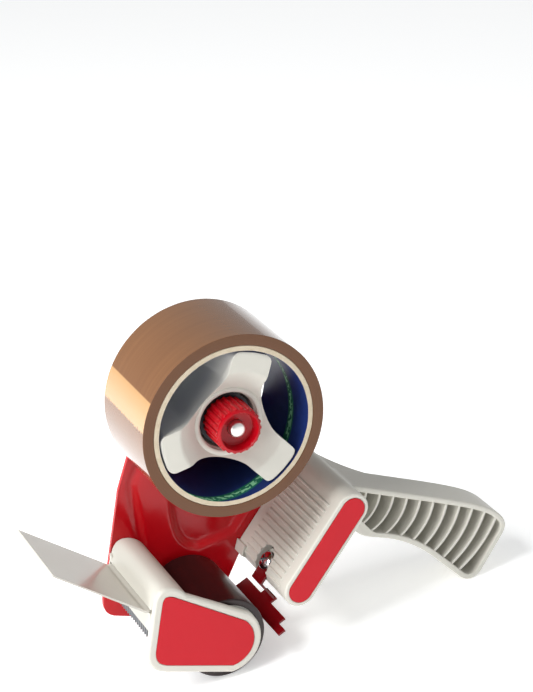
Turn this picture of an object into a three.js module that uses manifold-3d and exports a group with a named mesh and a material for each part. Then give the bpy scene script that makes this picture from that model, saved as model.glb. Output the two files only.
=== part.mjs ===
// Hand tape dispenser for parcel tape: a pressed steel side plate carries a braked hub for the roll,
// a rubber roller, a toothed cutting head with a flexible wiper, and a ribbed pistol grip that is open
// on one side. Units are millimetres, +Z is up, +X runs back to the grip and +Y out through the plate.
// The pieces are laid out around the spindle at the origin, and the whole is then pitched so that it
// stands on its roller and the butt of its grip, with the origin under the middle of its box.
import * as THREE from "three";
import { mergeVertices } from "three/addons/utils/BufferGeometryUtils.js";
import Module from "manifold-3d";

const wasm = await Module();
wasm.setup();

// Driving dimensions
const TAPE_WIDTH = 50;         // widest tape the dispenser takes
const CORE_BORE = 76.2;        // inner diameter of a three inch core
const CORE_WALL = 2.6;
const WOUND_TAPE = 5.6;        // radial thickness of the tape on the roll that is fitted
const LARGEST_ROLL = 136;      // diameter of the fullest roll that must clear the frame
const ROLLER_DIAMETER = 42;
const ROLLER_DROP = 23;        // from the fullest roll down to the top of the roller
const HEAD_DEPTH = 18;         // cutting head, front to back
const HEAD_RISE = 35.3;        // top of the head above the roller's axis
const WIPER_LENGTH = 56;
const SLAB_THICKNESS = 17.2;   // ridged guide block in front of the grip
const SLAB_LENGTH = 47.3;      // between the centres of its two round ends
const GRIP_LENGTH = 93.7;      // from the block's upper centre to the butt's centre
const GRIP_WIDTH = 26;
const SHEET = 2;               // side plate steel
const PLASTIC_WALL = 2.5;
const KNOB_DIAMETER = 23.6;
const KNOB_LENGTH = 16.5;
const BOLT_DIAMETER = 8;
const AXLE_DIAMETER = 6;

// Named clearances
const FIT_GAP = 0.3;           // between pieces that rest on or locate each other
const RUN_GAP = 0.15;          // radial, between an axle and what turns on it
const SIDE_GAP = 3;            // from the tape's edge to the side plate
const COVER_GAP = 2;           // from the tape's edge to the head's side cover
const ROLL_GAP = 5.2;          // from the fullest roll to the ridged block
const HEAD_GAP = 1.5;          // from the roller to the head
const HOLE_GAP = 0.3;          // radial, round screws, the bolt and the axle in their holes
const BEYOND = 200;            // how far a cutting tool runs past the piece it cuts

// Planes across the dispenser, from the open side to the steel side
const TAPE_NEAR = -TAPE_WIDTH / 2;
const TAPE_FAR = TAPE_WIDTH / 2;
const PLATE_IN = TAPE_FAR + SIDE_GAP;
const PLATE_OUT = PLATE_IN + SHEET;
const MOULD_FAR = PLATE_IN - FIT_GAP;
const COVER_IN = TAPE_NEAR - COVER_GAP;
const COVER_WALL = 3;
const COVER_OUT = COVER_IN - COVER_WALL;
const SLAB_NEAR = COVER_OUT + 1.6;
const LABEL_RECESS = 0.5;
const LABEL_THICKNESS = 0.5;

// Places in the side view
const at = (x, z) => new THREE.Vector2(x, z);
const rad = THREE.MathUtils.degToRad;
const ROLLER_RADIUS = ROLLER_DIAMETER / 2;
const ROLLER = at(-2, -(LARGEST_ROLL / 2 + ROLLER_DROP + ROLLER_RADIUS));
const HEAD_BACK = ROLLER.x - ROLLER_RADIUS - HEAD_GAP;
const HEAD_FRONT = HEAD_BACK - HEAD_DEPTH;
const HEAD_TOP = ROLLER.y + HEAD_RISE;
const SLOT_DROP = 12.2;        // from the head's top down to the wiper's slot
const LIP_DROP = 10.8;         // from the slot down to the lip's lower edge
const SLOT_Z = HEAD_TOP - SLOT_DROP;
const LIP_Z = SLOT_Z - LIP_DROP;
const SLAB_ANGLE = rad(56);
const SLAB_RADIUS = SLAB_THICKNESS / 2;
const FACE_DISTANCE = LARGEST_ROLL / 2 + ROLL_GAP;
const SLAB_MIDDLE = FACE_DISTANCE + SLAB_RADIUS;
const SLAB_TOP_RUN = -8.5;     // upper centre, measured along the block from the spindle's foot on it
const SLAB_LOW_RUN = SLAB_TOP_RUN - SLAB_LENGTH;

// A point by its run along the ridged block and its distance from the spindle
const slabPoint = (run, distance) =>
  at(
    run * Math.cos(SLAB_ANGLE) + distance * Math.sin(SLAB_ANGLE),
    run * Math.sin(SLAB_ANGLE) - distance * Math.cos(SLAB_ANGLE),
  );
const SLAB_TOP = slabPoint(SLAB_TOP_RUN, SLAB_MIDDLE);
const SLAB_LOW = slabPoint(SLAB_LOW_RUN, SLAB_MIDDLE);

// ---------------------------------------------------------------- solids from geometry

const SAME_POINT = 1e-5;
const CURVE_STEPS = 8;
const HOLE_SIDES = 16;         // screws and their holes
const ROD_SIDES = 24;          // axle, bolt and bushes
const DISC_SIDES = 28;         // washers and shallow turned faces
const HUB_STEPS = 6;
const ROUND_STEPS = 16;        // the block's two round ends

function solid(geometry) {
  const bare = geometry.clone();
  bare.deleteAttribute("normal");
  bare.deleteAttribute("uv");
  const merged = mergeVertices(bare, SAME_POINT);
  const mesh = new wasm.Mesh({
    numProp: 3,
    vertProperties: Float32Array.from(merged.attributes.position.array),
    triVerts: Uint32Array.from(merged.index.array),
  });
  return new wasm.Manifold(mesh);
}

function geometryOf(body) {
  const mesh = body.getMesh();
  const geometry = new THREE.BufferGeometry();
  geometry.setAttribute("position", new THREE.BufferAttribute(mesh.vertProperties, 3));
  geometry.setIndex(new THREE.BufferAttribute(mesh.triVerts, 1));
  geometry.computeVertexNormals();
  return geometry;
}

const union = (...bodies) => bodies.reduce((whole, body) => whole.add(body));
const without = (body, ...tools) => tools.reduce((rest, tool) => rest.subtract(tool), body);

// A side view outline (x, z) made solid between two planes across the dispenser
function across(shape, y0, y1, curveSegments = CURVE_STEPS) {
  const settings = { depth: y1 - y0, bevelEnabled: false, curveSegments };
  const geometry = new THREE.ExtrudeGeometry(shape, settings);
  geometry.rotateX(Math.PI / 2);
  geometry.translate(0, y1, 0);
  return solid(geometry);
}

// A front view outline (y, z) made solid from x0 to x1
function lengthwise(shape, x0, x1) {
  const settings = { depth: x1 - x0, bevelEnabled: false, curveSegments: CURVE_STEPS };
  const geometry = new THREE.ExtrudeGeometry(shape, settings);
  const axes = new THREE.Matrix4().makeBasis(
    new THREE.Vector3(0, 1, 0),
    new THREE.Vector3(0, 0, 1),
    new THREE.Vector3(1, 0, 0),
  );
  geometry.applyMatrix4(axes);
  geometry.translate(x0, 0, 0);
  return solid(geometry);
}

// A profile of (radius, y) pairs turned about the Y axis, then moved to a place in the side view
function turned(profile, place = at(0, 0), segments = 32) {
  const points = profile.map(([r, y]) => new THREE.Vector2(r, y));
  const geometry = new THREE.LatheGeometry(points, segments);
  geometry.translate(place.x, 0, place.y);
  return solid(geometry);
}

const rod = (r, y0, y1, place, segments) =>
  turned([[0, y0], [r, y0], [r, y1], [0, y1]], place, segments);
const tube = (r0, r1, y0, y1, place, segments) =>
  turned([[r0, y0], [r1, y0], [r1, y1], [r0, y1], [r0, y0]], place, segments);

function polygon(points) {
  return new THREE.Shape(points.map(([x, z]) => at(x, z)));
}

function circle(centre, r) {
  const shape = new THREE.Shape();
  shape.absarc(centre.x, centre.y, r, 0, Math.PI * 2);
  return shape;
}

// The same outline moved in by a distance, or out by a negative one
const SHARPEST = 0.35;         // cosine below which a corner is not carried out to its point
function inset(shape, distance) {
  const points = shape.extractPoints(CURVE_STEPS).shape;
  if (points[0].distanceTo(points[points.length - 1]) < SAME_POINT) points.pop();
  const turn = THREE.ShapeUtils.isClockWise(points) ? -1 : 1;
  const count = points.length;
  const moved = points.map((point, i) => {
    const before = point.clone().sub(points[(i + count - 1) % count]).normalize();
    const after = points[(i + 1) % count].clone().sub(point).normalize();
    const normal = at(-before.y - after.y, before.x + after.x).normalize();
    const spread = Math.max(normal.dot(at(-after.y, after.x)), SHARPEST);
    return point.clone().addScaledVector(normal, (turn * distance) / spread);
  });
  return new THREE.Shape(moved);
}

// A sheet of even thickness bent along a chain of (x, z) points, lying to the left of the chain
function bentSheet(chain, thickness, y0, y1) {
  const points = chain.map(([x, z]) => at(x, z));
  const other = points.map((point, i) => {
    const before = point.clone().sub(points[Math.max(i - 1, 0)]);
    const after = points[Math.min(i + 1, points.length - 1)].clone().sub(point);
    const first = before.lengthSq() > 0 ? before.normalize() : after.clone().normalize();
    const second = after.lengthSq() > 0 ? after.normalize() : first.clone();
    const normal = at(-first.y - second.y, first.x + second.x).normalize();
    return point.clone().addScaledVector(normal, thickness / normal.dot(at(-first.y, first.x)));
  });
  return across(new THREE.Shape([...points, ...other.reverse()]), y0, y1);
}

// Turns a piece built along Y so that its near side (-Y) points along a side view direction, at a place
function aimed(body, direction, place, y = 0) {
  const toward = new THREE.Vector3(direction.x, 0, direction.y).normalize();
  const turn = new THREE.Quaternion().setFromUnitVectors(new THREE.Vector3(0, -1, 0), toward);
  const geometry = geometryOf(body);
  geometry.applyQuaternion(turn);
  geometry.translate(place.x, y, place.y);
  return solid(geometry);
}

// ---------------------------------------------------------------- finishes

const finish = (color, roughness, metalness = 0) =>
  new THREE.MeshStandardMaterial({ color, roughness, metalness });
const RED_PAINT = finish("#b8101a", 0.25);
const DARK_RED_PAINT = finish("#8e0c14", 0.3);
const GREY_PLASTIC = finish("#dcdad0", 0.5);
const RED_LABEL = finish("#de2d3c", 0.45);
const RED_PLASTIC = finish("#c4101f", 0.35);
const FLAP_PLASTIC = finish("#d0cdc4", 0.3);
const BLACK_RUBBER = finish("#221010", 0.35);
const WHITE_PLASTIC = finish("#c9c7c0", 0.5);
const BROWN_TAPE = finish("#8b6848", 0.3);
const CORE_BOARD = finish("#d9cdbb", 0.85);
const STEEL = finish("#b9bcc0", 0.3, 1);
const CHROME = finish("#d8dadd", 0.12, 1);
const FELT = finish("#5c5a55", 0.95);

const dispenser = new THREE.Group();
function part(name, body, material, parent = dispenser) {
  const mesh = new THREE.Mesh(geometryOf(body), material);
  mesh.name = name;
  parent.add(mesh);
}

// ---------------------------------------------------------------- outlines in the side view
// The free curves are drawn by offsets in millimetres from the planes and centres they belong to.

// Stadium of the ridged block, grown by a distance
function stadium(grow = 0) {
  const r = SLAB_RADIUS + grow;
  const shape = new THREE.Shape();
  shape.absarc(SLAB_TOP.x, SLAB_TOP.y, r, SLAB_ANGLE - Math.PI / 2, SLAB_ANGLE + Math.PI / 2);
  shape.absarc(SLAB_LOW.x, SLAB_LOW.y, r, SLAB_ANGLE + Math.PI / 2, SLAB_ANGLE + Math.PI * 1.5);
  return shape;
}

// A point of the grip, measured from the block's upper centre on a grip of the drawn length
const DRAWN_GRIP = at(78, -52);
const BUTT_RADIUS = 8;
const stretch = GRIP_LENGTH / DRAWN_GRIP.length();
function gripPoint(x, z) {
  const moved = x > 0 ? x * (stretch - 1) : 0;
  return at(SLAB_TOP.x + x + moved, SLAB_TOP.y + z + (moved * DRAWN_GRIP.y) / DRAWN_GRIP.x);
}
const BUTT = gripPoint(DRAWN_GRIP.x, DRAWN_GRIP.y);

function gripOutline() {
  const shape = new THREE.Shape();
  const curve = (a, b, c) => {
    const [p, q, r] = [a, b, c].map(([x, z]) => gripPoint(x, z));
    shape.bezierCurveTo(p.x, p.y, q.x, q.y, r.x, r.y);
  };
  const start = gripPoint(-1, 8.2);
  shape.moveTo(start.x, start.y);
  curve([10, 4.6], [30, -1.6], [56, -9.5]);
  curve([74, -15.2], [86, -19.2], [92, -24.4]);
  curve([97, -28.2], [98.6, -32.2], [96, -37.2]);
  shape.absarc(BUTT.x, BUTT.y, BUTT_RADIUS, rad(-30), rad(-132), true);
  const belly = gripPoint(57, -44.2);
  shape.lineTo(belly.x, belly.y);
  curve([49, -37.2], [40, -31.2], [28, -27.6]);
  curve([21, -25.6], [14, -24.8], [10.5, -20.8]);
  const root = gripPoint(0, -8);
  shape.lineTo(root.x, root.y);
  return shape;
}

// Top of the head and the corner under it, shared by the head and its side cover
function headCrown(shape) {
  shape.lineTo(HEAD_FRONT + 1.4, HEAD_TOP - 6);
  shape.bezierCurveTo(
    HEAD_FRONT + 2.6, HEAD_TOP - 1.5, HEAD_FRONT + 5, HEAD_TOP, HEAD_FRONT + 8, HEAD_TOP,
  );
  shape.bezierCurveTo(
    HEAD_FRONT + 12, HEAD_TOP, HEAD_BACK - 2.5, HEAD_TOP - 2, HEAD_BACK, HEAD_TOP - 5,
  );
}

const COVER_RADIUS = ROLLER_RADIUS - 3.5;
const COVER_LOW = ROLLER.y - COVER_RADIUS;
function coverOutline() {
  const shape = new THREE.Shape();
  shape.moveTo(HEAD_FRONT + 0.6, SLOT_Z);
  headCrown(shape);
  shape.absarc(ROLLER.x, ROLLER.y, COVER_RADIUS, rad(52), rad(-82), true);
  shape.lineTo(HEAD_FRONT + 9, COVER_LOW + 7.3);
  shape.bezierCurveTo(
    HEAD_FRONT + 1, COVER_LOW + 9, HEAD_FRONT - 2, COVER_LOW + 13, HEAD_FRONT - 1.8, COVER_LOW + 20,
  );
  return shape;
}

const SPINDLE_PAD = 23;
function plateOutline() {
  const shape = new THREE.Shape();
  const block = (run, distance) => slabPoint(run, SLAB_MIDDLE + distance);
  const corner = block(SLAB_LOW_RUN - SLAB_RADIUS + 3, -4);
  const heel = block(SLAB_LOW_RUN - 4, SLAB_RADIUS - 2);
  const shoulder = block(SLAB_TOP_RUN, SLAB_RADIUS - 2);
  shape.absarc(0, 0, SPINDLE_PAD, rad(20), rad(165));
  shape.lineTo(HEAD_FRONT + 4.5, HEAD_TOP + 26);
  shape.lineTo(HEAD_FRONT - 0.2, SLOT_Z);
  shape.bezierCurveTo(
    HEAD_FRONT - 2.5, ROLLER.y + 6, HEAD_FRONT - 6.5, COVER_LOW + 13, HEAD_FRONT + 3, COVER_LOW + 9.6,
  );
  shape.lineTo(ROLLER.x + 1, COVER_LOW + 0.4);
  shape.bezierCurveTo(
    ROLLER.x + 12, COVER_LOW - 1, ROLLER.x + 18, ROLLER.y - 6, ROLLER.x + 25, ROLLER.y + 1,
  );
  shape.lineTo(corner.x, corner.y);
  shape.lineTo(heel.x, heel.y);
  shape.lineTo(shoulder.x, shoulder.y);
  const top = block(SLAB_TOP_RUN + 4, 2);
  shape.bezierCurveTo(shoulder.x + 1, shoulder.y + 6, top.x + 4, top.y + 2, top.x, top.y);
  return shape;
}

// The pressed pan that stiffens the plate around the spindle and down to the roller
function panOutline() {
  const shape = new THREE.Shape();
  const face = slabPoint(SLAB_LOW_RUN, FACE_DISTANCE - 6);
  const upper = slabPoint(SLAB_TOP_RUN - 8, FACE_DISTANCE - 6);
  const floor = ROLLER.y + ROLLER_RADIUS;
  shape.absarc(0, 0, SPINDLE_PAD - 6, rad(20), rad(170));
  shape.lineTo(-8.5, floor + 25);
  shape.bezierCurveTo(-7, floor + 16, -6, floor + 4, 6, floor + 2);
  shape.lineTo(face.x, face.y);
  shape.lineTo(upper.x, upper.y);
  return shape;
}

// ---------------------------------------------------------------- side plate

const PAN_DEPTH = 2.5;
const PAN_IN = PLATE_IN + PAN_DEPTH;
const PAN_OUT = PAN_IN + SHEET;
const SCREW_RADIUS = 1.9;
const BLOCK_SCREWS = [
  slabPoint(SLAB_TOP_RUN - 2, SLAB_MIDDLE),
  slabPoint(SLAB_LOW_RUN + 8, SLAB_MIDDLE),
];
const HEAD_SCREWS = [
  at(HEAD_FRONT + 9.5, HEAD_TOP - 6.5),
  at(HEAD_FRONT + 9.5, LIP_Z + 4.5),
];
const plateHole = (r, place) => rod(r + HOLE_GAP, PLATE_IN - 1, PAN_OUT + 1, place, HOLE_SIDES);
{
  const pan = panOutline();
  const panFloor = inset(pan, SHEET);
  const sheet = across(plateOutline(), PLATE_IN, PLATE_OUT);
  const dish = across(pan, PLATE_IN, PAN_OUT);
  const plate = without(
    union(sheet, dish),
    across(panFloor, PLATE_IN - 1, PAN_IN),
    plateHole(BOLT_DIAMETER / 2, at(0, 0)),
    plateHole(AXLE_DIAMETER / 2, ROLLER),
    ...[...BLOCK_SCREWS, ...HEAD_SCREWS].map((place) => plateHole(SCREW_RADIUS, place)),
  );
  part("side_plate", plate, RED_PAINT);
}

// ---------------------------------------------------------------- grip and ridged block, one moulding

const GRIP_NEAR = -14;
const GRIP_FAR = GRIP_NEAR + GRIP_WIDTH;
const GRIP_RIM = 3;
const GRIP_FLOOR = 3;
const RIB_COUNT = 11;
const RIB_PITCH = 7.75;
const RIB_THICKNESS = 1.4;
const RIB_RADIUS = 20;
const RIB_GROWTH = 0.4;        // added to the radius, times the square of the rib's number
const RIB_SWEEP = 1.4;         // radians of arc from the top rim down to the belly
const RIB_LEAN = 0.003;        // radians of lean, times the square of the rib's number
const RIB_SINK = 0.4;          // how far a rib runs into the pocket's walls
const EDGE_BEVEL = 5;
const RIDGE_COUNT = 14;
const RIDGE_PITCH = 3.6;
const RIDGE_HEIGHT = 0.7;
const RIDGE_FOOT = 0.8;        // half width at the face, and depth into it
const FIRST_RIDGE = SLAB_TOP_RUN - 4.7;
const NOTCH_HALF = 6.3;
const NOTCH_DEPTH = 4.2;
const GUARD_SCREW_RUN = SLAB_LOW_RUN + 0.2;
const NOTCH_CENTRE = GUARD_SCREW_RUN + 1.5;
const BOSS_RADIUS = 4.4;
const PILOT_DEPTH = 12;
const BLOCK_LABEL_EDGE = 2.3;
const faceOut = at(-Math.sin(SLAB_ANGLE), Math.cos(SLAB_ANGLE));

const screwPilot = (place) =>
  rod(SCREW_RADIUS + HOLE_GAP, MOULD_FAR - PILOT_DEPTH, MOULD_FAR + 1, place, HOLE_SIDES);

// A block in the slab's own directions: along its run, its distance from the spindle, and across
function slabBox(run0, run1, distance0, distance1, y0, y1) {
  const corners = [[run0, distance0], [run0, distance1], [run1, distance1], [run1, distance0]];
  return across(new THREE.Shape(corners.map(([run, distance]) => slabPoint(run, distance))), y0, y1);
}

// One rib of the grip: an arc that leaves the top rim squarely and sweeps down towards the block
function ribShape(index) {
  const lean = -RIB_LEAN * index * index;
  const top = gripPoint(15.1 + RIB_PITCH * index, -1.5 - 2.62 * index + 4);
  const radius = RIB_RADIUS + RIB_GROWTH * index * index;
  const centre = at(top.x - radius * Math.cos(lean), top.y - radius * Math.sin(lean));
  const shape = new THREE.Shape();
  shape.absarc(centre.x, centre.y, radius + RIB_THICKNESS / 2, lean, lean - RIB_SWEEP, true);
  shape.absarc(centre.x, centre.y, radius - RIB_THICKNESS / 2, lean - RIB_SWEEP, lean, false);
  return shape;
}

{
  const outline = gripOutline();
  const rounded = new THREE.ExtrudeGeometry(inset(outline, EDGE_BEVEL), {
    depth: GRIP_WIDTH,
    bevelThickness: EDGE_BEVEL,
    bevelSize: EDGE_BEVEL,
    bevelSegments: 2,
    curveSegments: CURVE_STEPS,
  });
  rounded.rotateX(Math.PI / 2);
  rounded.translate(0, GRIP_FAR - EDGE_BEVEL, 0);
  const span = polygon([[-BEYOND, -BEYOND], [BEYOND, -BEYOND], [BEYOND, BEYOND], [-BEYOND, BEYOND]]);
  const grip = solid(rounded).subtract(across(span, -BEYOND, GRIP_NEAR));

  // Fillet in plan from the wide block down to the narrower grip, on the steel side
  const plan = new THREE.Shape();
  const reach = MOULD_FAR - GRIP_FAR + 6;
  const start = SLAB_TOP.x + SLAB_RADIUS - 2;
  plan.moveTo(start - 8, GRIP_FAR - 6);
  plan.lineTo(start + reach, GRIP_FAR - 6);
  plan.lineTo(start + reach, GRIP_FAR - 4);
  plan.bezierCurveTo(start + reach / 2, GRIP_FAR - 1, start + 3, MOULD_FAR - 6, start, MOULD_FAR);
  plan.lineTo(start - 8, MOULD_FAR);
  const upright = { depth: BEYOND, bevelEnabled: false, curveSegments: CURVE_STEPS };
  const column = new THREE.ExtrudeGeometry(plan, upright).translate(0, 0, SLAB_TOP.y - BEYOND / 2);
  const flare = solid(column).intersect(across(outline, GRIP_FAR - 7, MOULD_FAR));

  const block = across(stadium(), SLAB_NEAR, MOULD_FAR, ROUND_STEPS);
  const ridges = [];
  for (let i = 0; i < RIDGE_COUNT; i += 1) {
    const run = FIRST_RIDGE - i * RIDGE_PITCH;
    const past = Math.max(SLAB_LOW_RUN - run, 0);
    const skin = SLAB_MIDDLE - Math.sqrt(SLAB_RADIUS * SLAB_RADIUS - past * past);
    const corners = [
      slabPoint(run - RIDGE_FOOT, skin + RIDGE_FOOT),
      slabPoint(run + RIDGE_FOOT, skin + RIDGE_FOOT),
      slabPoint(run, skin - RIDGE_HEIGHT),
    ];
    ridges.push(across(new THREE.Shape(corners), TAPE_NEAR + 3.5, TAPE_FAR - 5));
  }

  // Toe at the block's lower front corner, on the steel side, given by run and distance past the face
  const toe = [[-1, 3], [-2, -1.4], [-7.5, 0.8], [-7, 6]];
  const toeCorners = toe.map(([run, past]) => slabPoint(SLAB_LOW_RUN + run, FACE_DISTANCE + past));
  const foot = across(new THREE.Shape(toeCorners), MOULD_FAR - 9, MOULD_FAR);

  // Pocket of the grip, its ribs, and the solid web in its lower front corner
  const web = [[-4, -8], [11.3, -13.3], [19, -21.6], [26, -25.8], [18, -34], [-4, -34]];
  const corner = new THREE.Shape(web.map(([x, z]) => gripPoint(x, z)));
  const pocket = without(
    across(inset(outline, GRIP_RIM), GRIP_NEAR - 1, GRIP_FAR - GRIP_FLOOR),
    across(stadium(), -BEYOND, BEYOND),
    across(corner, -BEYOND, BEYOND),
  );
  const ribFar = GRIP_FAR - GRIP_FLOOR + RIB_SINK;
  const inPocket = across(inset(outline, GRIP_RIM - RIB_SINK), GRIP_NEAR, ribFar);
  const ribs = [];
  for (let i = 0; i < RIB_COUNT; i += 1) {
    ribs.push(across(ribShape(i), GRIP_NEAR, ribFar).intersect(inPocket));
  }

  // Hollow of the block, closed towards the open side, with bosses for its screws and the guard's
  const bosses = BLOCK_SCREWS.map((place) => rod(BOSS_RADIUS, SLAB_NEAR, MOULD_FAR, place, HOLE_SIDES));
  const pad = slabBox(
    GUARD_SCREW_RUN - 12, GUARD_SCREW_RUN + 6, FACE_DISTANCE, FACE_DISTANCE + NOTCH_DEPTH + 6,
    -NOTCH_HALF - 2.5, NOTCH_HALF + 2.5,
  );
  const hollow = without(
    across(stadium(-PLASTIC_WALL), SLAB_NEAR + PLASTIC_WALL, MOULD_FAR + 1, ROUND_STEPS),
    ...bosses,
    pad,
  );
  const notchFloor = FACE_DISTANCE + NOTCH_DEPTH;
  const notchTop = aimed(
    rod(NOTCH_HALF, -40, 0, undefined, HOLE_SIDES), faceOut, slabPoint(NOTCH_CENTRE, notchFloor),
  );
  const notch = union(
    slabBox(NOTCH_CENTRE - 21.5, NOTCH_CENTRE, FACE_DISTANCE - 40, notchFloor, -NOTCH_HALF, NOTCH_HALF),
    notchTop,
  );
  const guardPilot = aimed(
    rod(SCREW_RADIUS + HOLE_GAP, -2, 9, undefined, HOLE_SIDES), faceOut,
    slabPoint(GUARD_SCREW_RUN, notchFloor),
  );
  const pilots = BLOCK_SCREWS.map(screwPilot);
  const labelSeat = across(
    stadium(FIT_GAP - BLOCK_LABEL_EDGE), SLAB_NEAR - 1, SLAB_NEAR + LABEL_RECESS, ROUND_STEPS,
  );
  const body = without(
    union(grip, flare, block, foot, ...ridges).subtract(pocket).add(union(...ribs)),
    hollow, notch, guardPilot, labelSeat, ...pilots,
  );
  part("grip_moulding", body, GREY_PLASTIC);
  const labelNear = SLAB_NEAR + LABEL_RECESS - FIT_GAP - LABEL_THICKNESS;
  const label = across(
    stadium(-BLOCK_LABEL_EDGE), labelNear, labelNear + LABEL_THICKNESS, ROUND_STEPS,
  );
  part("block_label", label, RED_LABEL);
}

// ---------------------------------------------------------------- screws

// A pan head screw along Y whose head sits outside (towards -Y) and whose shank runs into the piece
const RECESS_HALF = 0.55;
function panScrew(headRadius, headHeight, shankRadius, shankLength) {
  const bodyOfScrew = turned([
    [0, -headHeight],
    [headRadius * 0.55, -headHeight],
    [headRadius * 0.88, -headHeight * 0.72],
    [headRadius, -headHeight * 0.3],
    [headRadius, 0],
    [shankRadius, 0],
    [shankRadius, shankLength - 1.5],
    [0, shankLength],
  ], undefined, HOLE_SIDES);
  const slot = (halfX, halfZ) =>
    across(polygon([[-halfX, -halfZ], [halfX, -halfZ], [halfX, halfZ], [-halfX, halfZ]]),
      -headHeight - 1, -headHeight * 0.35);
  const arm = headRadius * 0.5;
  return without(bodyOfScrew, slot(arm, RECESS_HALF), slot(RECESS_HALF, arm));
}

// Screws through the side plate point back into the plastic, so they are turned round
function plateScrew(name, place) {
  const geometry = geometryOf(panScrew(3.6, 2.3, SCREW_RADIUS, 12));
  geometry.rotateX(Math.PI);
  geometry.translate(place.x, PLATE_OUT + FIT_GAP, place.y);
  part(name, solid(geometry), STEEL);
}
BLOCK_SCREWS.forEach((place, i) => plateScrew(`grip_screw_${i + 1}`, place));
HEAD_SCREWS.forEach((place, i) => plateScrew(`head_screw_${i + 1}`, place));

// ---------------------------------------------------------------- guard behind the roller

const GUARD_SHEET = 1.2;
const GUARD_GAP = 5.6;
const GUARD_HALF = TAPE_WIDTH / 2 - 2;
const GUARD_SLOPE = 0.53;      // radians up from level, towards the block
const GUARD_EDGE = ROLLER.x + ROLLER_RADIUS + GUARD_GAP;
{
  const bed = FACE_DISTANCE + NOTCH_DEPTH - FIT_GAP;
  const top = slabPoint(GUARD_SCREW_RUN + 4, bed);
  const bend = slabPoint(SLAB_LOW_RUN - SLAB_RADIUS - 2, bed);
  const drop = at(SLAB_LOW.x - 2, SLAB_LOW.y - SLAB_RADIUS - 7.4);
  const along = (x) => [x, drop.y + (x - drop.x) * Math.tan(GUARD_SLOPE)];
  const tongue = bentSheet(
    [[drop.x, drop.y], [bend.x, bend.y], [top.x, top.y]], GUARD_SHEET, -NOTCH_HALF + 1, NOTCH_HALF - 1,
  );
  const bar = (x0, x1, y0, y1) => bentSheet([along(x0), along(x1)], GUARD_SHEET, y0, y1);
  const guard = union(
    tongue,
    bar(GUARD_EDGE + 5, drop.x + 0.4, -NOTCH_HALF + 0.6, NOTCH_HALF - 0.6),
    bar(GUARD_EDGE, GUARD_EDGE + 7, -GUARD_HALF, GUARD_HALF),
    bar(GUARD_EDGE, GUARD_EDGE + 3.6, COVER_OUT - 0.5, -GUARD_HALF + 0.5),
  );
  const hole = aimed(
    rod(SCREW_RADIUS + HOLE_GAP, -9, 9, undefined, HOLE_SIDES), faceOut, slabPoint(GUARD_SCREW_RUN, bed),
  );
  part("tape_guard", guard.subtract(hole), DARK_RED_PAINT);
  const seat = slabPoint(GUARD_SCREW_RUN, bed - GUARD_SHEET - FIT_GAP);
  part("guard_screw", aimed(panScrew(5, 3.1, SCREW_RADIUS, 9), faceOut, seat), CHROME);
}

// ---------------------------------------------------------------- cutting head, blade and wiper

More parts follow.
